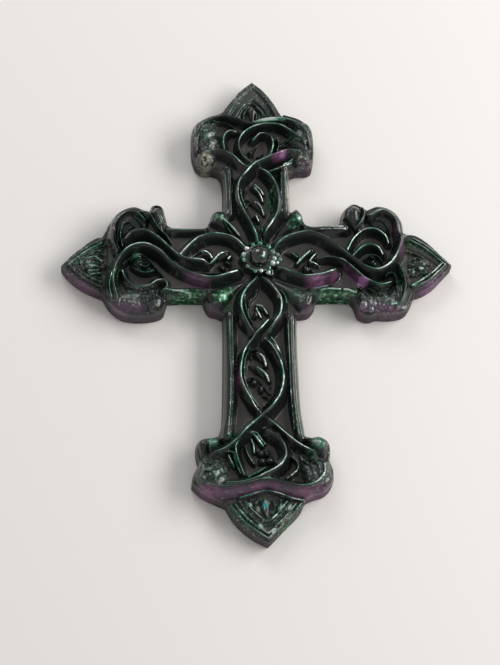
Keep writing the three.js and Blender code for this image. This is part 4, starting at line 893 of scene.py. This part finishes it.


# ground that is darker and glossier: left capital, beside the strands of the shaft and the top arm,
# the bottom capital, and the right slope of the top end, where the dark is painted shade
DARK_GROUND_AND_SHADE = [
    ((6, 73), (5, 10), 22), ((-49, -6), (10, 7), 0), ((-10.4, -48), (2.6, 30), 2),
    ((10, -50), (2.4, 28), 0), ((-9.6, 28), (2.4, 12), 0), ((9.8, 28), (2.4, 12), 0),
    ((0, -84), (7, 8), 0),
]
DARKNESS = 0.9                # how much of the charcoal is gone at the middle of a patch
for centre, half, turn in DARK_GROUND_AND_SHADE:
    ground_mask *= 1 - DARKNESS * patch(centre, half, turn)

# painted highlights, spots coloured like the lit crests where the casting catches the light: centre,
# half lengths, turn in degrees, strength
PAINTED_GLINTS = [
    ((-49.2, 1.4), (2.2, 0.9), 32, 0.9), ((6.6, 64.4), (6.6, 0.9), 0, 1.0),
    ((43.5, 18.6), (0.8, 3), -12, 1.1), ((17, 18.6), (2.2, 1.3), 50, 1.0),
    ((-19.4, 56), (2.4, 2), 30, 0.8), ((-17.4, 53.6), (1.4, 1), -20, 0.8),
    ((-15, -15.4), (4.2, 0.7), 42, 0.6), ((42.6, -19.8), (1, 1.2), 0, 0.8),
    ((13.4, 44.4), (1.6, 0.7), 40, 1.1), ((-20.7, -78.4), (3, 2.8), 0, 0.66),
    ((21, -78.8), (4.4, 4), 0, 0.58), ((-12, -84.6), (0.8, 3.4), 20, 0.7),
    ((-67.6, -1.6), (3, 1.2), 0, 0.6), ((-69, 5), (5, 1.6), 36, 0.4),
    ((-3.2, -104.4), (0.8, 1.8), 10, 1.5), ((-6.6, -102.8), (0.8, 2.4), 35, 1.5),
    ((5.8, -103.8), (0.8, 2.6), -40, 1.3), ((3.2, -107.6), (2.6, 0.8), 30, 1.4),
    ((-2.6, -111.4), (2, 0.9), -40, 1.4), ((2.6, -113.2), (2.2, 0.8), 45, 1.4),
    ((9, -104), (0.8, 2), -25, 1.3), ((-9.4, -106), (0.9, 2.6), 40, 1.2),
    ((64, -3.4), (1, 0.7), 0, 1.7), ((66.8, -2.8), (1.4, 0.9), 0, 1.7),
]
crest_pigment_and_highlight = np.maximum(crest_pigment_and_highlight, patches(PAINTED_GLINTS))

# dull spots in the two corners below the boss
DULL = [((13, -13.4), (6, 2), -36, 0.8), ((-10.4, -12), (3.4, 1.4), 36, 0.8)]
ground_mask = np.maximum(ground_mask, patches(DULL))

# where the pigment shows violet: lower flanks of the strands, of the bottom rim and of the sides
VIOLET = [
    ((-25.4, -9.4), (6.4, 3.6), -8, 0.7), ((23.6, -9.4), (6.2, 3.8), 4, 1),
    ((30.8, -8), (3, 3.4), 0, 0.7), ((42.2, -9.5), (3, 2.3), -35, 2.3),
    ((37.6, -6.4), (5.4, 3), -45, 0.55), ((-10.6, -51), (2.6, 9), 4, 0.6),
    ((10.6, 47), (4.4, 2.3), 20, 1.25), ((52, -21), (6, 2.6), 0, 0.7), ((43, -20), (5, 4), 0, 0.4),
    ((58, 8), (2, 9), 8, 0.8), ((-52, -20), (10, 4), 0, 0.6), ((-72, -8.2), (9, 1.9), -38, 0.72),
    ((-58.8, 13.4), (1.3, 4.4), 0, 0.4), ((18.4, -21), (4, 2.4), 0, 0.3),
    ((-18.6, -21), (4, 2.4), 0, 0.3), ((-24.6, 52), (2, 5), 0, 0.5), ((21, 43.6), (4, 2), 0, 0.3),
    ((6.6, -26.2), (2.6, 1.6), -50, 0.4), ((-21, -98), (9, 2.6), -14, 0.7),
    ((-12, -98.6), (9, 2.6), 4, 0.75), ((-3, -97), (8, 2.4), 12, 0.85),
    ((6, -97.4), (8, 2.4), -14, 0.8), ((14, -99), (8, 2.6), -2, 0.75), ((21, -98), (6, 3), 20, 0.6),
    ((71.4, -9), (9, 2), 40, 0.9), ((11.8, -108.6), (7, 1.5), 46, 0.6),
]
violet_mask = patches(VIOLET)

# where it shows bright mottled green
GREEN = [
    ((-30, -14.6), (10, 2.4), 0, 1), ((30.4, -14.6), (11, 2.4), 0, 1), ((-15.4, 19), (3.4, 3), 0, 0.7),
    ((15.8, 17.4), (4.4, 2.8), 35, 1.2), ((-14.4, -15.4), (6.6, 3.4), 36, 1.3),
    ((-13.2, -20), (2, 3), 0, 0.5), ((-12.4, -38), (1.6, 22), 2, 0.35), ((-59, -6), (1.8, 11), 6, 0.45),
    ((-49.6, 1.8), (2.4, 1.8), 20, 0.5), ((-30, 14.2), (9, 1.2), 0, 0.5), ((-67, 5.6), (9, 3), 36, 0.5),
    ((8.6, -111), (7, 1.8), 44, 1), ((-10, -108), (8, 2), -42, 0.5),
    ((3.6, -31.4), (3.2, 0.9), 48, 0.4), ((58, -8), (2.2, 9), 0, 0.3), ((66, 8), (9, 2.4), -36, 0.4),
    ((6.3, 27.6), (1.6, 6.6), -4, 1.2), ((15, -15), (4, 3), -30, 0.5), ((18.4, -84), (3, 3), 0, 0.4),
    ((-20, -90), (6, 5), 0, 0.3), ((-12.8, -75), (3, 2), 45, 0.8),
]
green_mask = patches(GREEN)

# where the surface of the casting is wrinkled and pitted
WRINKLED = [
    ((0, -98), (25, 2.6), 0, 0.3), ((-50, -16.5), (12, 8), 5, 0.9), ((-20.6, -90), (9, 9), 0, 1),
    ((19.6, -90.6), (8, 9), 0, 0.9), ((-20, 57), (8, 10), 0, 1.4), ((20, 58), (7, 9), 0, 0.8),
    ((0, -107), (17, 11), 0, 1.3), ((-4, 76), (8, 12), -30, 1), ((5, 74), (6, 12), 25, 0.5),
    ((-69, 0), (13, 13), 0, 1.1), ((50, -18), (12, 7), 0, 0.9), ((-41, 20), (4, 7), 0, 0.4),
    ((68, -1), (12, 11), 0, 0.9), ((-20.6, 45), (5, 6), 0, 1), ((19, 45), (6, 5), 0, 0.8),
    ((15.6, -16.4), (5, 5), 0, 0.8), ((39.6, 20.6), (6, 7), 0, 0.15),
]
rough_mask = patches(WRINKLED) * (1 - 0.7 * ground_mask)

# bare cream resin where the pigment missed: right edge of the top arm, the upper left ball and a
# few small spots
CREAM = [
    ((13.4, 31), (1.1, 12), 0, 1), ((-20.4, 45.2), (3, 4.4), 0, 1), ((19, 46.6), (1, 1.2), 0, 1),
    ((7.5, -16.6), (0.8, 1.3), 0, 1), ((7, -109.4), (6, 0.7), 48, 1),
]
cream_mask = patches(CREAM)
# one petal of the bloom on the bottom end is turquoise
turquoise_mask = patch((-0.7, -103.4), (1.2, 1.6), 0)


def cells_of(keep):
    """Cells of the grid whose four corners are kept, with no cell that hangs on a corner alone."""
    cells = keep[:-1, :-1] & keep[1:, :-1] & keep[:-1, 1:] & keep[1:, 1:]
    for _ in range(4):
        padded = np.pad(cells, 1)
        beside = (padded[:-2, 1:-1].astype(int) + padded[2:, 1:-1]
                  + padded[1:-1, :-2] + padded[1:-1, 2:])
        cells = cells & (beside >= 2)
    return cells


signed_gap = np.where(inside, edge_gap, -edge_gap)
cells = cells_of(signed_gap > -0.3 * GRID)
rows, columns = np.nonzero(cells)
wide = plan_x.shape[1]
corner = rows * wide + columns
quads = np.stack([corner, corner + 1, corner + wide + 1, corner + wide], axis=1)
used, quads = np.unique(quads, return_inverse=True)
quads = quads.reshape(-1, 4)
points = np.stack([plan_x.ravel()[used], plan_y.ravel()[used], height.ravel()[used]], axis=1)

# edges that only one cell has are the rim of the front, and they run round it in one direction;
# their points are moved onto the outline
edges = np.concatenate([quads[:, [0, 1]], quads[:, [1, 2]], quads[:, [2, 3]], quads[:, [3, 0]]])
keys = edges.min(1).astype(np.int64) * len(used) + edges.max(1)
_, first, count = np.unique(keys, return_index=True, return_counts=True)
border = edges[first[count == 1]]
border_points = np.unique(border)
outline_points = rim[:, :2]
outline_steps = np.roll(outline_points, -1, axis=0) - outline_points
for index in border_points:
    away = points[index, :2] - outline_points
    share = (away * outline_steps).sum(1) / np.maximum((outline_steps**2).sum(1), 1e-9)
    nearest = outline_points + np.clip(share, 0, 1)[:, None] * outline_steps
    points[index, :2] = nearest[np.argmin(((nearest - points[index, :2]) ** 2).sum(1))]
points[border_points, 2] = WALL_EDGE

# side wall, in rings from the rim of the front down to the back
WALL_RINGS = (0.78, 0.56, 0.34, 0.14, 0.0)
place_of = np.full(len(points), -1)
place_of[border_points] = np.arange(len(border_points))
wall_quads = []
above = border_points
for ring_share in WALL_RINGS:
    ring = points[border_points].copy()
    ring[:, 2] = WALL_EDGE * ring_share
    below = np.arange(len(points), len(points) + len(ring))
    points = np.vstack([points, ring])
    a, b = place_of[border[:, 0]], place_of[border[:, 1]]
    wall_quads.append(np.stack([above[b], above[a], below[a], below[b]], axis=1))
    above = below
faces = np.vstack([quads, *wall_quads])


def upright(plan_points):
    """From plan and height in millimetres to metres, with the front facing -Y."""
    return np.stack([plan_points[:, 0], -plan_points[:, 2], plan_points[:, 1]], axis=1) * MM


def mesh_of(name, vertices, polygons):
    """A mesh from an array of points and an array of faces that all have as many corners."""
    mesh = bpy.data.meshes.new(name)
    mesh.vertices.add(len(vertices))
    mesh.vertices.foreach_set("co", vertices.astype(np.float32).ravel())
    sides = polygons.shape[1]
    mesh.loops.add(polygons.size)
    mesh.loops.foreach_set("vertex_index", polygons.astype(np.int32).ravel())
    mesh.polygons.add(len(polygons))
    mesh.polygons.foreach_set("loop_start", np.arange(0, polygons.size, sides, dtype=np.int32))
    mesh.update(calc_edges=True)
    return mesh


def set_mask(mesh, name, values):
    """Keep a value for each point of a mesh, which the trees and the material read by its name."""
    attribute = mesh.attributes.get(name) or mesh.attributes.new(name, "FLOAT", "POINT")
    attribute.data.foreach_set("value", values.astype(np.float32))


def at_points(mask, x, y):
    """A mask of the plan, read at points given in millimetres."""
    i = np.clip((x - x_line[0]) / GRID, 0, len(x_line) - 1.001)
    j = np.clip((y - y_line[0]) / GRID, 0, len(y_line) - 1.001)
    i0, j0 = i.astype(int), j.astype(int)
    fi, fj = i - i0, j - j0
    low = mask[j0, i0] * (1 - fi) + mask[j0, i0 + 1] * fi
    high = mask[j0 + 1, i0] * (1 - fi) + mask[j0 + 1, i0 + 1] * fi
    return low * (1 - fj) + high * fj


skin_mesh = mesh_of("casting", upright(points), faces)
set_mask(skin_mesh, "wrinkled", at_points(rough_mask, points[:, 0], points[:, 1]))
set_mask(skin_mesh, "free", np.clip(points[:, 2] / 2.0, 0, 1))
casting = bpy.data.objects.new("casting", skin_mesh)
scene.collection.objects.link(casting)


# Unevenness of the pour: slow swells all over, and wrinkles where the casting is wrinkled.
# The back stays flat, because the mask "free" is nought there.
def uneven_pour():
    tree = bpy.data.node_groups.new("uneven_pour", "GeometryNodeTree")
    socket = tree.interface.new_socket
    socket("Geometry", in_out="INPUT", socket_type="NodeSocketGeometry")
    for name, value in (("Swell Size", 6 * MM), ("Swell Depth", 0.16 * MM),
                        ("Wrinkle Size", 2.0 * MM), ("Wrinkle Depth", 0.7 * MM)):
        socket(name, in_out="INPUT", socket_type="NodeSocketFloat").default_value = value
    socket("Geometry", in_out="OUTPUT", socket_type="NodeSocketGeometry")
    nodes, links = tree.nodes, tree.links
    start = nodes.new("NodeGroupInput")
    end = nodes.new("NodeGroupOutput")

    def maths(operation, a, b):
        node = nodes.new("ShaderNodeMath")
        node.operation = operation
        for slot, value in zip(node.inputs, (a, b)):
            if isinstance(value, (int, float)):
                slot.default_value = value
            else:
                links.new(value, slot)
        return node.outputs[0]

    def mask(name):
        node = nodes.new("GeometryNodeInputNamedAttribute")
        node.data_type = "FLOAT"
        node.inputs["Name"].default_value = name
        return node.outputs["Attribute"]

    def waves(size, detail, seed):
        """Noise from about minus a half to a half, with features of the given size."""
        noise = nodes.new("ShaderNodeTexNoise")
        noise.noise_dimensions = "4D"
        noise.inputs["W"].default_value = seed
        noise.inputs["Detail"].default_value = detail
        links.new(maths("DIVIDE", 1.0, size), noise.inputs["Scale"])
        return maths("SUBTRACT", noise.outputs["Fac"], 0.5)

    swell = waves(start.outputs["Swell Size"], 1.0, 3.0)
    swell = maths("MULTIPLY", swell, start.outputs["Swell Depth"])
    wrinkle = waves(start.outputs["Wrinkle Size"], 2.0, 7.0)
    wrinkle = maths("MULTIPLY", wrinkle, start.outputs["Wrinkle Depth"])
    wrinkle = maths("MULTIPLY", wrinkle, mask("wrinkled"))
    amount = maths("MULTIPLY", maths("ADD", swell, wrinkle), mask("free"))
    along = nodes.new("ShaderNodeVectorMath")
    along.operation = "SCALE"
    links.new(nodes.new("GeometryNodeInputNormal").outputs["Normal"], along.inputs[0])
    links.new(amount, along.inputs["Scale"])
    move = nodes.new("GeometryNodeSetPosition")
    links.new(start.outputs["Geometry"], move.inputs["Geometry"])
    links.new(along.outputs["Vector"], move.inputs["Offset"])
    links.new(move.outputs["Geometry"], end.inputs["Geometry"])
    return tree


def made_plain(piece):
    """The piece's mesh with its modifiers worked in, which are then removed."""
    bpy.context.view_layer.update()
    worked = piece.evaluated_get(bpy.context.evaluated_depsgraph_get())
    plain = bpy.data.meshes.new_from_object(worked)
    piece.modifiers.clear()
    piece.data = plain
    return plain


pour = casting.modifiers.new("uneven_pour", "NODES")
pour.node_group = uneven_pour()

SKIN_TRIANGLES = 188000
thin_out = casting.modifiers.new("thin_out", "DECIMATE")
thin_out.ratio = SKIN_TRIANGLES / (2 * len(faces))
finished = made_plain(casting)

# the flat back closes the casting
skin = bmesh.new()
skin.from_mesh(finished)
open_edges = [e for e in skin.edges if e.is_boundary]
for edge in open_edges:
    for vert in edge.verts:
        vert.co.y = 0
bmesh.ops.triangle_fill(skin, edges=open_edges, use_dissolve=False, normal=(0, 1, 0))
skin.to_mesh(finished)
skin.free()

spots = np.zeros(len(finished.vertices) * 3, np.float32)
finished.vertices.foreach_get("co", spots)
spots = spots.reshape(-1, 3) / MM
for name, values in (("crest", crest_pigment_and_highlight), ("ground", ground_mask), ("violet", violet_mask),
                     ("wrinkled", rough_mask), ("green", green_mask), ("cream", cream_mask),
                     ("turquoise", turquoise_mask)):
    set_mask(finished, name, at_points(values, spots[:, 0], spots[:, 2]))
# the upright side, fading out over the rounded edge at its top
SIDE_FADE = 2.4
side_low = np.clip((WALL_EDGE + 3.2 + spots[:, 1]) / SIDE_FADE, 0, 1)
side_out = np.clip(1 - at_points(depth_in, spots[:, 0], spots[:, 2]) / SIDE_FADE, 0, 1)
set_mask(finished, "side", side_low * side_out)


def shade_smooth(mesh):
    """Smooth shading that keeps the sharp edges sharp."""
    mesh.polygons.foreach_set("use_smooth", np.ones(len(mesh.polygons), bool))
    mesh.set_sharp_from_angle(angle=math.radians(62))


shade_smooth(finished)


# The finish. The resin is nearly black and glossy. A mica pigment shows green and teal on crests
# and upward faces and violet on faces that look down, and the crests carry painted highlights; the
# sunk ground is a dull charcoal.
def cast_finish(name):
    material = bpy.data.materials.new(name)
    material.use_nodes = True
    nodes, links = material.node_tree.nodes, material.node_tree.links
    shader = nodes["Principled BSDF"]
    place = nodes.new("ShaderNodeTexCoord")

    def feed(slot, value):
        if hasattr(value, "is_linked"):
            links.new(value, slot)
        else:
            slot.default_value = value

    def maths(operation, a, b, clamp=True):
        node = nodes.new("ShaderNodeMath")
        node.operation = operation
        node.use_clamp = clamp
        feed(node.inputs[0], a)
        feed(node.inputs[1], b)
        return node.outputs[0]

    def mask(name):
        node = nodes.new("ShaderNodeAttribute")
        node.attribute_name = name
        return node.outputs["Fac"]

    def times(*values):
        """The product of two or more values."""
        product = values[0]
        for value in values[1:]:
            product = maths("MULTIPLY", product, value)
        return product

    def between(value, low, high):
        """From nought at low to one at high."""
        node = nodes.new("ShaderNodeMapRange")
        feed(node.inputs["Value"], value)
        node.inputs["From Min"].default_value = low
        node.inputs["From Max"].default_value = high
        return node.outputs["Result"]

    def noise(size, detail, seed):
        """Noise whose features have the given size in millimetres."""
        node = nodes.new("ShaderNodeTexNoise")
        node.noise_dimensions = "4D"
        links.new(place.outputs["Object"], node.inputs["Vector"])
        node.inputs["Scale"].default_value = 1 / (size * MM)
        node.inputs["Detail"].default_value = detail
        node.inputs["W"].default_value = seed
        return node.outputs["Fac"]

    def ramp(value, stops):
        node = nodes.new("ShaderNodeValToRGB")
        links.new(value, node.inputs["Fac"])
        while len(node.color_ramp.elements) < len(stops):
            node.color_ramp.elements.new(0.5)
        for stop, (where, colour) in zip(node.color_ramp.elements, stops):
            stop.position = where
            stop.color = colour
        return node.outputs["Color"]

    def layer(under, over, share):
        """One colour over another, where share says."""
        node = nodes.new("ShaderNodeMix")
        node.data_type = "RGBA"
        feed(node.inputs["Factor"], share)
        feed(node.inputs["A"], under)
        feed(node.inputs["B"], over)
        return node.outputs["Result"]

    # the crest mark is the pigment on the crests and the highlights painted along them
    crest, ground, side = mask("crest"), mask("ground"), mask("side")
    wrinkled, cream, green = mask("wrinkled"), mask("cream"), mask("green")
    facing = nodes.new("ShaderNodeSeparateXYZ")
    links.new(place.outputs["Normal"], facing.inputs["Vector"])
    down = between(facing.outputs["Z"], -0.15, -0.75)
    up = between(facing.outputs["Z"], 0.1, 0.7)
    cloud = noise(9, 3.0, 1.0)
    fleck = noise(1.5, 4.0, 2.0)
    glitter = between(noise(1.0, 3.0, 5.0), 0.56, 0.62)
    opal = ramp(noise(3, 2.0, 12.0), (
        (0.36, (0.10, 0.34, 0.34, 1)), (0.46, (0.46, 0.56, 0.52, 1)),
        (0.54, (0.56, 0.62, 0.50, 1)), (0.64, (0.46, 0.28, 0.40, 1))))

    # silver pigment of the crests, which also paints their highlights: bright in stretches and grey,
    # green or mauve between them
    pigment_highlight_colour = ramp(noise(5, 3.0, 8.0), (
        (0.36, (0.03, 0.18, 0.11, 1)), (0.45, (0.10, 0.36, 0.24, 1)), (0.53, (0.50, 0.74, 0.62, 1)),
        (0.61, (0.82, 0.87, 0.83, 1)), (0.70, (0.28, 0.20, 0.29, 1))))
    # where the casting is wrinkled, the silver is broken up
    broken = maths("SUBTRACT", 1.0, times(wrinkled, between(noise(1.8, 2.0, 9.0), 0.5, 0.42)))
    pigment_highlight_share = times(between(crest, 0.3, 0.85), between(fleck, 0.3, 0.5), broken)
    halo = times(between(crest, 0.1, 0.5), 0.5)

    # violet lies on faces that don't look up the cross; where it is strongest, on all of them
    plum = mask("violet")
    violet = maths("MAXIMUM", between(facing.outputs["Z"], 0.15, -0.2), between(plum, 1.1, 1.5))
    violet = times(plum, violet, between(fleck, 0.2, 0.5))
    vivid = times(between(plum, 0.75, 1.2), between(noise(3, 3.0, 6.0), 0.38, 0.55))
    deep_violet = ramp(cloud, ((0.4, (0.26, 0.10, 0.21, 1)), (0.6, (0.11, 0.055, 0.12, 1))))
    mottled = ramp(fleck, (
        (0.40, (0.004, 0.02, 0.010, 1)), (0.50, (0.010, 0.075, 0.026, 1)),
        (0.59, (0.05, 0.22, 0.11, 1)), (0.68, (0.36, 0.58, 0.48, 1))))
    bare_cream = ramp(fleck, ((0.42, (0.03, 0.03, 0.025, 1)), (0.5, (0.42, 0.40, 0.32, 1))))
    speckled = times(wrinkled, between(fleck, 0.50, 0.60))
    polished = mask("polished")

    # the bare resin, and what lies over it, from the lowest layer to the topmost
    colour = (0.009, 0.012, 0.011, 1)
    for over, share in (
            ((0.010, 0.060, 0.038, 1), times(up, between(cloud, 0.42, 0.6), 0.4)),
            ((0.044, 0.042, 0.038, 1), ground),
            ((0.038, 0.050, 0.044, 1), times(wrinkled, 0.7)),
            ((0.075, 0.10, 0.088, 1), speckled),
            ((0.044, 0.028, 0.040, 1), times(side, down, between(fleck, 0.28, 0.56))),
            ((0.10, 0.11, 0.11, 1), polished),
            (mottled, green),
            (deep_violet, violet),
            ((0.50, 0.25, 0.46, 1), times(violet, vivid)),
            ((0.66, 0.28, 0.70, 1), times(violet, between(plum, 1.35, 1.7))),
            ((0.012, 0.12, 0.064, 1), halo),
            (pigment_highlight_colour, pigment_highlight_share),
            # painted white highlight where the crest mark is strongest
            ((0.80, 0.88, 0.84, 1), between(crest, 0.9, 1.3)),
            (opal, times(wrinkled, glitter, 0.6)),
            (bare_cream, cream),
            ((0.02, 0.30, 0.36, 1), mask("turquoise"))):
        colour = layer(colour, over, share)
    links.new(colour, shader.inputs["Base Color"])

    # the pigment shines like metal, the bare cream resin doesn't
    shine = times(pigment_highlight_share, 0.9)
    for flakes, share in ((violet, 0.4), (speckled, 0.6), (green, 0.5)):
        shine = maths("ADD", shine, times(flakes, share))
    shine = times(shine, maths("SUBTRACT", 1.0, cream))
    links.new(maths("ADD", shine, polished), shader.inputs["Metallic"])

    dull = 0.13
    for rougher, share in ((ground, 0.3), (side, 0.5), (maths("MAXIMUM", green, wrinkled), 0.2),
                           (pigment_highlight_share, 0.12), (fleck, 0.12)):
        dull = maths("ADD", dull, times(rougher, share))
    dull = maths("SUBTRACT", dull, times(polished, 0.12))
    links.new(dull, shader.inputs["Roughness"])

    # air bubbles leave pits about a millimetre apart, over a fine grain and a coarser one
    pits = nodes.new("ShaderNodeTexVoronoi")
    pits.inputs["Scale"].default_value = 1 / (1.0 * MM)
    links.new(place.outputs["Object"], pits.inputs["Vector"])
    pit = times(between(pits.outputs["Distance"], 0.34, 0.0), maths("ADD", wrinkled, side))
    grain = times(noise(0.5, 3.0, 4.0), 0.25)
    coarse = times(fleck, maths("ADD", 0.25, maths("ADD", times(wrinkled, 0.6), green)))
    relief = maths("SUBTRACT", maths("ADD", grain, coarse, False), times(pit, 0.9), False)
    bump = nodes.new("ShaderNodeBump")
    bump.inputs["Distance"].default_value = 0.22 * MM
    bump.inputs["Strength"].default_value = 0.7
    links.new(relief, bump.inputs["Height"])
    links.new(bump.outputs["Normal"], shader.inputs["Normal"])
    bare = maths("SUBTRACT", 1.0, maths("ADD", side, ground))
    links.new(times(bare, 0.35), shader.inputs["Coat Weight"])
    shader.inputs["Coat Roughness"].default_value = 0.06
    return material


finished.materials.clear()
resin = cast_finish("dark_cast_resin")
finished.materials.append(resin)
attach(casting, "root")
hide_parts("cross_casting")


# The boss and its beads. A polished dome stands on the ring at the crossing, in a collar of small
# uneven beads, and more beads lie in the weave. They are cast with the rest, in the same resin.
BOSS_RADIUS = 4.5
BOSS_TOP = 18.6
BEADS = 13                    # beads of the collar
BEAD_RADIUS = 1.1
BEAD_RING = 6.1               # how far their middles are from the middle of the boss
BEAD_SINK = 0.3               # how far their middles are below the top of the ring
# beads that stand apart from the collar: x, y, height of the middle, radius
LOOSE_BEADS = [
    (7.6, 1.6, 12, 1.0), (8.6, -0.4, 11.6, 1.1), (7.4, -1.8, 11.8, 0.8), (3.6, -6.2, 12, 1.1),
    (42, -19.8, 10.6, 1.7), (45, -21.4, 9.6, 1.4), (46.4, -19.2, 10.2, 1.1), (47.2, -1.8, 10.4, 0.8),
]
draw = np.random.default_rng(11)
bead_spots = []
for k in range(BEADS):
    turn = (k + draw.uniform(-0.22, 0.22)) / BEADS * 2 * math.pi
    reach = BEAD_RING + draw.uniform(-0.3, 0.4)
    radius = BEAD_RADIUS * draw.uniform(0.75, 1.2)
    bead_spots.append((reach * math.cos(turn), reach * math.sin(turn), COLLAR - BEAD_SINK, radius))
bead_spots = np.array(bead_spots + LOOSE_BEADS)
seeds = bpy.data.meshes.new("beads")
seeds.vertices.add(len(bead_spots))
seeds.vertices.foreach_set("co", upright(bead_spots).astype(np.float32).ravel())
set_mask(seeds, "bead_radius", bead_spots[:, 3] * MM)
# the beads under the right capital are dull and mauve; the rest carry a painted highlight of random
# strength
mauve = (bead_spots[:, 0] > 40) & (bead_spots[:, 1] < -15)
set_mask(seeds, "crest", np.where(mauve, 0.4, draw.uniform(0.4, 1.4, len(bead_spots))))
set_mask(seeds, "violet", mauve * 1.25)
beads = bpy.data.objects.new("boss_and_beads", seeds)
scene.collection.objects.link(beads)


def bead_tree(material):
    """A flattened ball on each point, as large as the point's own radius says."""
    tree = bpy.data.node_groups.new("beads_on_points", "GeometryNodeTree")
    socket = tree.interface.new_socket
    socket("Geometry", in_out="INPUT", socket_type="NodeSocketGeometry")
    socket("Flatness", in_out="INPUT", socket_type="NodeSocketFloat").default_value = 0.85
    socket("Geometry", in_out="OUTPUT", socket_type="NodeSocketGeometry")
    nodes, links = tree.nodes, tree.links
    start = nodes.new("NodeGroupInput")
    end = nodes.new("NodeGroupOutput")
    ball = nodes.new("GeometryNodeMeshIcoSphere")
    ball.inputs["Radius"].default_value = 1
    ball.inputs["Subdivisions"].default_value = 4
    size = nodes.new("GeometryNodeInputNamedAttribute")
    size.data_type = "FLOAT"
    size.inputs["Name"].default_value = "bead_radius"
    flat = nodes.new("ShaderNodeMath")
    flat.operation = "MULTIPLY"
    links.new(size.outputs["Attribute"], flat.inputs[0])
    links.new(start.outputs["Flatness"], flat.inputs[1])
    scale = nodes.new("ShaderNodeCombineXYZ")
    links.new(size.outputs["Attribute"], scale.inputs["X"])
    links.new(flat.outputs[0], scale.inputs["Y"])
    links.new(size.outputs["Attribute"], scale.inputs["Z"])
    put = nodes.new("GeometryNodeInstanceOnPoints")
    links.new(start.outputs["Geometry"], put.inputs["Points"])
    links.new(ball.outputs["Mesh"], put.inputs["Instance"])
    links.new(scale.outputs["Vector"], put.inputs["Scale"])
    real = nodes.new("GeometryNodeRealizeInstances")
    links.new(put.outputs["Instances"], real.inputs["Geometry"])
    coat = nodes.new("GeometryNodeSetMaterial")
    coat.inputs["Material"].default_value = material
    links.new(real.outputs["Geometry"], coat.inputs["Geometry"])
    links.new(coat.outputs["Geometry"], end.inputs["Geometry"])
    return tree


strung = beads.modifiers.new("beads", "NODES")
strung.node_group = bead_tree(resin)
bead_mesh = made_plain(beads)

# the dome, turned from its profile and closed underneath
DOME_FOOT = 11
SIDES = 64
dome = bmesh.new()
dome.from_mesh(bead_mesh)
profile = [(0.0, DOME_FOOT), (BOSS_RADIUS, DOME_FOOT), (BOSS_RADIUS, COLLAR)]
profile += [(BOSS_RADIUS * math.cos(a), COLLAR + (BOSS_TOP - COLLAR) * math.sin(a))
            for a in np.linspace(0.08, math.pi / 2, 18)]
last_ring = None
for radius, level in profile:
    if radius < 1e-6:
        turned_ring = [dome.verts.new((0, -level * MM, 0))] * SIDES
    else:
        turned_ring = []
        for k in range(SIDES):
            turn = 2 * math.pi * k / SIDES
            across, rise = radius * MM * math.cos(turn), radius * MM * math.sin(turn)
            turned_ring.append(dome.verts.new((across, -level * MM, rise)))
    if last_ring:
        for k in range(SIDES):
            after = (k + 1) % SIDES
            corners = [last_ring[k], last_ring[after], turned_ring[after], turned_ring[k]]
            # at the poles two corners are the same point
            dome.faces.new(list(dict.fromkeys(corners)))
    last_ring = turned_ring
bmesh.ops.recalc_face_normals(dome, faces=dome.faces[:])
dome.to_mesh(bead_mesh)
dome.free()

# the dome is polished, with a painted green reflection a little below its top
GREEN_REFLECTION_AT = (0.4, -1.6)
GREEN_REFLECTION_RADIUS = 1.8
x, depth, y = np.array([v.co for v in bead_mesh.vertices]).T / MM
on_dome = (np.hypot(x, y) < BOSS_RADIUS + 0.01) & (depth < -COLLAR - 0.2)
green_reflection_gap = np.hypot(x - GREEN_REFLECTION_AT[0], y - GREEN_REFLECTION_AT[1])
set_mask(bead_mesh, "polished", on_dome)
# the green mark on the dome is a painted reflection
set_mask(bead_mesh, "green", on_dome * np.clip(1 - green_reflection_gap / GREEN_REFLECTION_RADIUS, 0, 1))
bead_mesh.materials.clear()
bead_mesh.materials.append(resin)
shade_smooth(bead_mesh)
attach(beads, "root")
